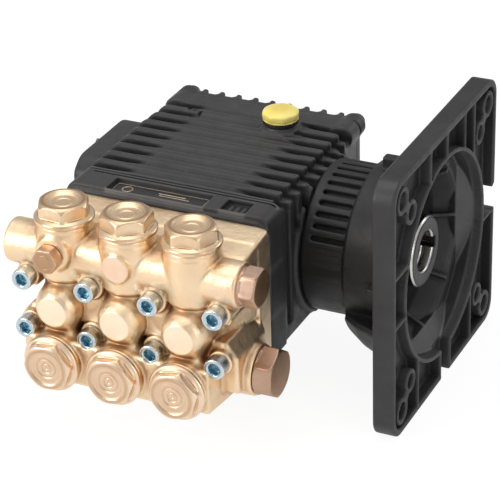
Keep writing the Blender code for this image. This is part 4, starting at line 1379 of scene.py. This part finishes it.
def build_rating_plate():
    """Plate with a plain border, ring and two bars, let into the top of the front flange."""
    centre = (-7.45, -74.4)
    relief = (90.1, 90.68)
    cast = Casting((-39.2, 24.3, -81.4, -67.4, 89.95, 90.75), 0.34)
    cast.add(prism("Z", round_rect(centre, (31.5, 6.7), 1.0), (89.96, 90.45), 0.12))
    grain = dict(scale=900, detail=2, strength=0.1, depth=0.0001)
    dark = mottled(
        "plate_dark", ((0.012, 0.012, 0.014), (0.020, 0.019, 0.022)),
        patch=dict(scale=70), sheen=dict(scale=300, low=0.34, high=0.46), grain=grain,
    )
    line = mottled(
        "plate_line", ((0.40, 0.30, 0.19), (0.56, 0.45, 0.31)),
        patch=dict(scale=300, detail=2),
        sheen=dict(scale=500, detail=2, low=0.30, high=0.42), grain=grain, metal=0.9,
    )
    cast.add(prism("Z", rect_frame(centre, (30.2, 5.6), width=0.5), relief, 0.05))
    cast.add(turned("Z", (-29, -74.4), [(90.1, 2.6), (90.1, 3.6), (90.68, 3.6), (90.68, 2.6)]))
    for y, span in ((-72.6, (-9.0, 9.0)), (-74.9, (-8.0, 12.0))):
        cast.add(block(span, (y - 0.4, y + 0.4), relief, 0.05))

    def pick_relief(centres, normals):
        return (centres[:, 2] > 90.55).astype(int)

    piece(Skin(cast, 26000), "rating_plate_plain", [dark, line], pick=pick_relief)


# ========================================================== shaft and covers
def build_shaft():
    """Hollow keyed crankshaft; it turns about +X through the bearings."""
    cast = Casting(shaft_box(-84, 132, 27), 0.62)
    cast.add(turned("X", SHAFT, [
        (-84, 0), (-84, 14.2), (-83, 15.0), (-60, 15.0), (-60, 19.6), (-59.6, 20.0),
        (103.8, 20.0), (104.5, 19.4), (106, 19.4), (106, 21.0), (107, 22.3), (130.4, 22.3),
        (132, 20.7), (132, 14.6), (130.6, 12.75), (72, 12.75), (70, 0)]))
    for x, angle in zip(CYLINDER_X, (90, 210, 330)):
        eccentric = around_shaft(3, math.radians(angle))
        cast.add(rod("X", eccentric, 23.5, (x - 8, x + 8), 0.5), 1.2)
    # keyway in the bore and a fine ring near its mouth
    cast.cut(block((78, 150), (6, 12.75 + 3.2), (AXIS_Z - 3.6, AXIS_Z + 3.6), 0.3), 0.3)
    cast.cut(turned("X", SHAFT, [(124, 13.4), (124, 12), (125.4, 12), (125.4, 13.4)]), 0.2)
    metal = turned_metal(
        "steel_shaft", "X", SHAFT, (0.66, 0.65, 0.63), (0.46, 0.44, 0.41),
        rough=0.25, pitch=1800, hollow=(0.16, 0.11, 0.07),
    )
    dark = turned_metal(
        "steel_hub", "X", SHAFT, (0.085, 0.085, 0.09), (0.05, 0.05, 0.052),
        rough=0.36, pitch=1500, hollow=HOLLOW_SHADE_BLACK,
    )

    def pick_hub(centres, normals):
        x, radius = centres[:, 0], off_axis(centres, "X", SHAFT)
        return ((x > 104.3) & (radius > 13.6) & ~((x > 130.2) & (radius > 21.3))).astype(int)

    skin = Skin(cast, 60000)
    piece(skin, "crankshaft_turned", [metal, dark], "crankshaft", pick_hub, body="crankshaft")


def build_shaft_seal():
    """Oil seal with a lip."""
    cast = Casting(shaft_box(92, 100, 26), 0.5)
    cast.add(turned("X", SHAFT, [
        (92, 20.35), (92, 25.9), (99.8, 25.9), (100, 25.5), (100, 24.2), (97.0, 23.6),
        (97.0, 21.6), (98.6, 21.0), (98.2, 20.35), (94.5, 20.5)]))
    rubber = mottled(
        "rubber_seal", ((0.010, 0.010, 0.010), (0.022, 0.021, 0.020)),
        patch=dict(scale=200), sheen=dict(scale=400, low=0.55, high=0.75),
        grain=dict(scale=1600, detail=2, strength=0.25, depth=0.0002),
    )
    piece(Skin(cast, 14000), "shaft_seal_moulded", [rubber], "shaft_seal")


def build_bearing_cover():
    end = LEFT_END
    cast = Casting(shaft_box(end - 2.6, -85.5, 36), 0.5)
    cast.add(turned("X", SHAFT, [
        (end - 1.9, 0), (end - 1.9, 12), (end - 2.5, 13), (end - 2.5, 27), (end - 1.5, 28.5),
        (end - 1.5, 34.8), (end - 0.9, 35.5), (end - 0.3, 35.5), (end - 0.3, 31.0),
        (-85.5, 31.0), (-85.5, 0)]))
    for centre in bolt_circle(33.0):
        cast.cut(rod("X", centre, 1.2, (end - 9, end + 9), 0.1), 0.2)
    piece(Skin(cast, 26000), "bearing_cover_cast", [PAINT_BEARING_COVER], "bearing_cover")


def sight_skin(reach, span, step, profile, triangles):
    """Round part about the sight glass axis; span and profile start from the cover."""
    start, end = (COVER_Y + y for y in span)
    cast = Casting((-reach, reach, start, end, AXIS_Z - reach, AXIS_Z + reach), step)
    cast.add(turned("Y", SHAFT, [(COVER_Y + along, radius) for along, radius in profile]))
    return Skin(cast, triangles)


def build_sight_glass():
    ring = [
        (2, 7.0), (2, 9.6), (9.0, 9.6), (9.0, 12.9), (9.4, 13.3), (13.0, 13.3),
        (15.5, 11.6), (15.5, 9.4), (13.8, 8.3), (13.8, 7.0),
    ]
    metal = turned_metal(
        "steel_sight_ring", "Y", SHAFT, (0.72, 0.72, 0.71), (0.58, 0.58, 0.57),
        rough=0.24, pitch=1800,
    )
    piece(sight_skin(14, (1.9, 15.6), 0.4, ring, 14000), "sight_ring", [metal])
    pane = [(4.2, 0), (4.2, 6.8), (12.0, 6.8), (12.9, 4.8), (13.3, 2.0), (13.4, 0)]
    skin = sight_skin(7, (4.0, 13.4), 0.34, pane, 5000)
    piece(skin, "sight_pane", [sight_glass_paint()], "sight_glass")


def build_drain_plug():
    """Hexagon plug with its washer."""
    cast = Casting((-9.4, 9.4, -9.4, 9.4, -14, 8.2), 0.34)
    cast.add(prism("Z", polygon(3, 12.2, 0.2), (1, 8), 0.4))
    cast.keep(ball(-1.2, 11.0), 0.4)
    cast.add(rod("Z", CENTRE, 8.8, (0, 2.2), 0.5), 0.3)
    cast.add(rod("Z", CENTRE, 5.6, (-13.6, 1), 0.5), 0.3)
    metal = turned_metal("zinc_drain", "Y", DRAIN, ZINC, ZINC_DULL, rough=0.25, pitch=1800)
    y = end_of("drain_plug", HIGH, "Y") - 8.0
    skin = Skin(cast, 9000).placed("Y", (DRAIN[0], y, DRAIN[1]))
    piece(skin, "drain_plug_turned", [metal], "drain_plug")


# ====================================================== finishes of inner nodes
def dress(node, mat):
    mats = NODES[node].data.materials
    mats.clear()
    mats.append(mat)


def ceramic(name):
    paint = Paint(name)
    colour = paint.mix(paint.cloud(scale=220), (0.88, 0.86, 0.80), (0.82, 0.80, 0.73))
    sheen = paint.ramp(paint.line_noise(paint.along("Y"), 1500), low=0.10, high=0.20)
    marks = paint.bump(paint.line_noise(paint.along("Y"), 2400), strength=0.10, depth=0.0001)
    return paint.finish(colour, sheen, 0.0, marks, Coat_Weight=0.4)


def finish_inner_nodes():
    for i, x in enumerate(CYLINDER_X, 1):
        dress(f"con_rod_{i}", mottled(
            f"rod_alloy_{i}", ((0.56, 0.56, 0.57), (0.68, 0.68, 0.69)),
            patch=dict(scale=160, detail=4), sheen=dict(scale=90, low=0.34, high=0.50),
            grain=dict(scale=1100, strength=0.30, depth=0.0003), metal=1.0,
        ))
        dress(f"crosshead_{i}", turned_metal(
            f"crosshead_steel_{i}", "Y", (x, AXIS_Z), (0.66, 0.66, 0.67), (0.55, 0.55, 0.56),
            rough=0.2, pitch=2000,
        ))
        dress(f"wrist_pin_{i}", turned_metal(
            f"pin_steel_{i}", "X", (-48, AXIS_Z), (0.70, 0.70, 0.70), (0.60, 0.60, 0.61),
            rough=0.16, pitch=2200,
        ))
        dress(f"plunger_{i}", ceramic(f"ceramic_{i}"))
        for kind, axis, centre in (
            ("discharge", "Z", (x, VALVE_Y)), ("inlet", "Y", (x, VALVE_Z))
        ):
            for part in ("seat", "poppet", "spring"):
                dress(f"{kind}_{part}_{i}", turned_metal(
                    f"{kind}_{part}_steel_{i}", axis, centre, (0.66, 0.66, 0.66),
                    (0.54, 0.54, 0.55), rough=0.2, pitch=2200,
                ))
    for side in ("left", "right"):
        dress(f"bearing_{side}", turned_metal(
            f"bearing_steel_{side}", "X", SHAFT, (0.70, 0.70, 0.70), (0.58, 0.58, 0.59),
            rough=0.14, pitch=1600,
        ))


# ======================================================================= studio
WHITE = (1, 1, 1, 1)


def floor_paint():
    """Pale paper; seen directly it glows, so only a faint shadow shows."""
    paint = Paint("floor_pale")
    colour = paint.mix(paint.cloud(scale=6, detail=2), (0.90, 0.90, 0.905), (0.93, 0.93, 0.93))
    grain = paint.grain(scale=300, detail=2, strength=0.02, depth=0.0005)
    paint.finish(colour, 0.75, 0.0, grain)
    glow = paint.node("ShaderNodeEmission", {"Color": WHITE, "Strength": 1.08})
    ray = paint.node("ShaderNodeLightPath").outputs
    camera_share, glossy_share = 0.84, 0.55  # part of the glow that each ray sees
    glossy = paint.math("MULTIPLY", ray["Is Glossy Ray"], glossy_share)
    seen = paint.math("MULTIPLY_ADD", ray["Is Camera Ray"], camera_share, glossy)
    mixed = paint.node(
        "ShaderNodeMixShader", {0: seen, 1: paint.surface.outputs[0], 2: glow.outputs[0]}
    )
    paint.put(paint.tree.nodes["Material Output"].inputs["Surface"], mixed.outputs[0])
    return paint.material


def build_floor():
    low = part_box("engine_flange")[0][2] - 0.0008
    cells, half = 24, 6.0
    row = cells + 1
    line = [(i / cells - 0.5) * 2 * half for i in range(row)]
    points = [(x, y, low) for x in line for y in line]
    starts = [i * row + j for i in range(cells) for j in range(cells)]
    mesh = bpy.data.meshes.new("floor")
    mesh.from_pydata(points, [], [(n, n + row, n + row + 1, n + 1) for n in starts])
    floor = bpy.data.objects.new("studio_floor", mesh)
    COLLECTION.objects.link(floor)
    mesh.materials.append(floor_paint())


def build_world():
    """White to the camera; other rays see grey bands by height."""
    world = bpy.data.worlds.new("studio")
    SCENE.world = world
    world.use_nodes = True
    nodes, link = world.node_tree.nodes, world.node_tree.links.new
    nodes.clear()
    out = nodes.new("ShaderNodeOutputWorld")
    seen = nodes.new("ShaderNodeBackground")
    seen.inputs["Color"].default_value = WHITE
    lit = nodes.new("ShaderNodeBackground")
    for background in (seen, lit):
        background.inputs["Strength"].default_value = 1.0
    coords = nodes.new("ShaderNodeTexCoord")
    separate = nodes.new("ShaderNodeSeparateXYZ")
    link(coords.outputs["Generated"], separate.inputs[0])
    ramp = nodes.new("ShaderNodeValToRGB")
    bands = ramp.color_ramp.elements
    bands[0].position, bands[0].color = 0.0, (0.80, 0.80, 0.81, 1)
    bands[1].position, bands[1].color = 1.0, (0.80, 0.80, 0.80, 1)
    # position (0 straight down, 1 straight up) and grey level
    for position, grey in ((0.47, 0.80), (0.53, 0.52), (0.66, 0.46), (0.82, 0.62)):
        bands.new(position).color = (grey, grey, grey * 1.01, 1)
    height = nodes.new("ShaderNodeMath")  # -1..1 to 0..1
    height.operation = "MULTIPLY_ADD"
    height.inputs[1].default_value = 0.5
    height.inputs[2].default_value = 0.5
    link(separate.outputs["Z"], height.inputs[0])
    link(height.outputs[0], ramp.inputs[0])
    link(ramp.outputs[0], lit.inputs["Color"])
    path = nodes.new("ShaderNodeLightPath")
    mix = nodes.new("ShaderNodeMixShader")
    link(path.outputs["Is Camera Ray"], mix.inputs[0])
    link(lit.outputs[0], mix.inputs[1])
    link(seen.outputs[0], mix.inputs[2])
    link(mix.outputs[0], out.inputs["Surface"])


def area(name, at, look, size, power, colour=(1, 1, 1)):
    light = bpy.data.lights.new(name, "AREA")
    light.shape = "RECTANGLE"
    light.size, light.size_y = size
    light.energy = power
    light.color = colour
    ob = bpy.data.objects.new(name, light)
    COLLECTION.objects.link(ob)
    ob.location = at
    ob.rotation_euler = (Vector(look) - Vector(at)).to_track_quat("-Z", "Y").to_euler()
    ob.visible_camera = False


def build_lights():
    area("key_top", at=(-0.15, -0.10, 1.15), look=(0.0, 0.0, 0.05), size=(1.1, 0.9), power=4.0)
    area(
        "key_front", at=(-0.75, -1.05, 0.55), look=(0.0, -0.1, 0.05), size=(0.6, 0.7),
        power=8.0, colour=(1.0, 0.985, 0.96),
    )
    area("rim_back", at=(0.9, 1.1, 0.7), look=(0.0, 0.0, 0.05), size=(0.8, 0.4), power=2.0)
    area(
        "fill_right", at=(1.1, -0.6, 0.45), look=(0.0, -0.05, 0.05), size=(0.25, 0.7),
        power=2.2, colour=(1.0, 0.99, 0.98),
    )


def build_camera():
    camera = bpy.data.cameras.new("camera")
    camera.sensor_width = 36.0
    camera.lens = 164.48
    camera.clip_start, camera.clip_end = 0.05, 60.0
    ob = bpy.data.objects.new("camera", camera)
    COLLECTION.objects.link(ob)
    right = (0.9045052, 0.4255572, -0.0277739)
    up = (-0.180754, 0.4415433, 0.8788444)
    back = (0.3862619, -0.7898991, 0.4762993)
    pose = Matrix((right, up, back)).transposed().to_4x4()
    pose.translation = (0.56652, -1.129652, 0.701993)
    ob.matrix_world = pose
    SCENE.camera = ob
    SCENE.view_settings.view_transform = "Standard"
    SCENE.view_settings.look = "None"


build_manifold()
build_crankcase()
build_rear_cover()
build_flange()
build_valve_plugs()
build_port_plugs()
build_cap_screws()
build_oil_cap()
build_rating_plate()
build_shaft()
build_shaft_seal()
build_bearing_cover()
build_small_screws()
build_sight_glass()
build_drain_plug()
finish_inner_nodes()
build_floor()
build_world()
build_lights()
build_camera()

bpy.context.view_layer.update()
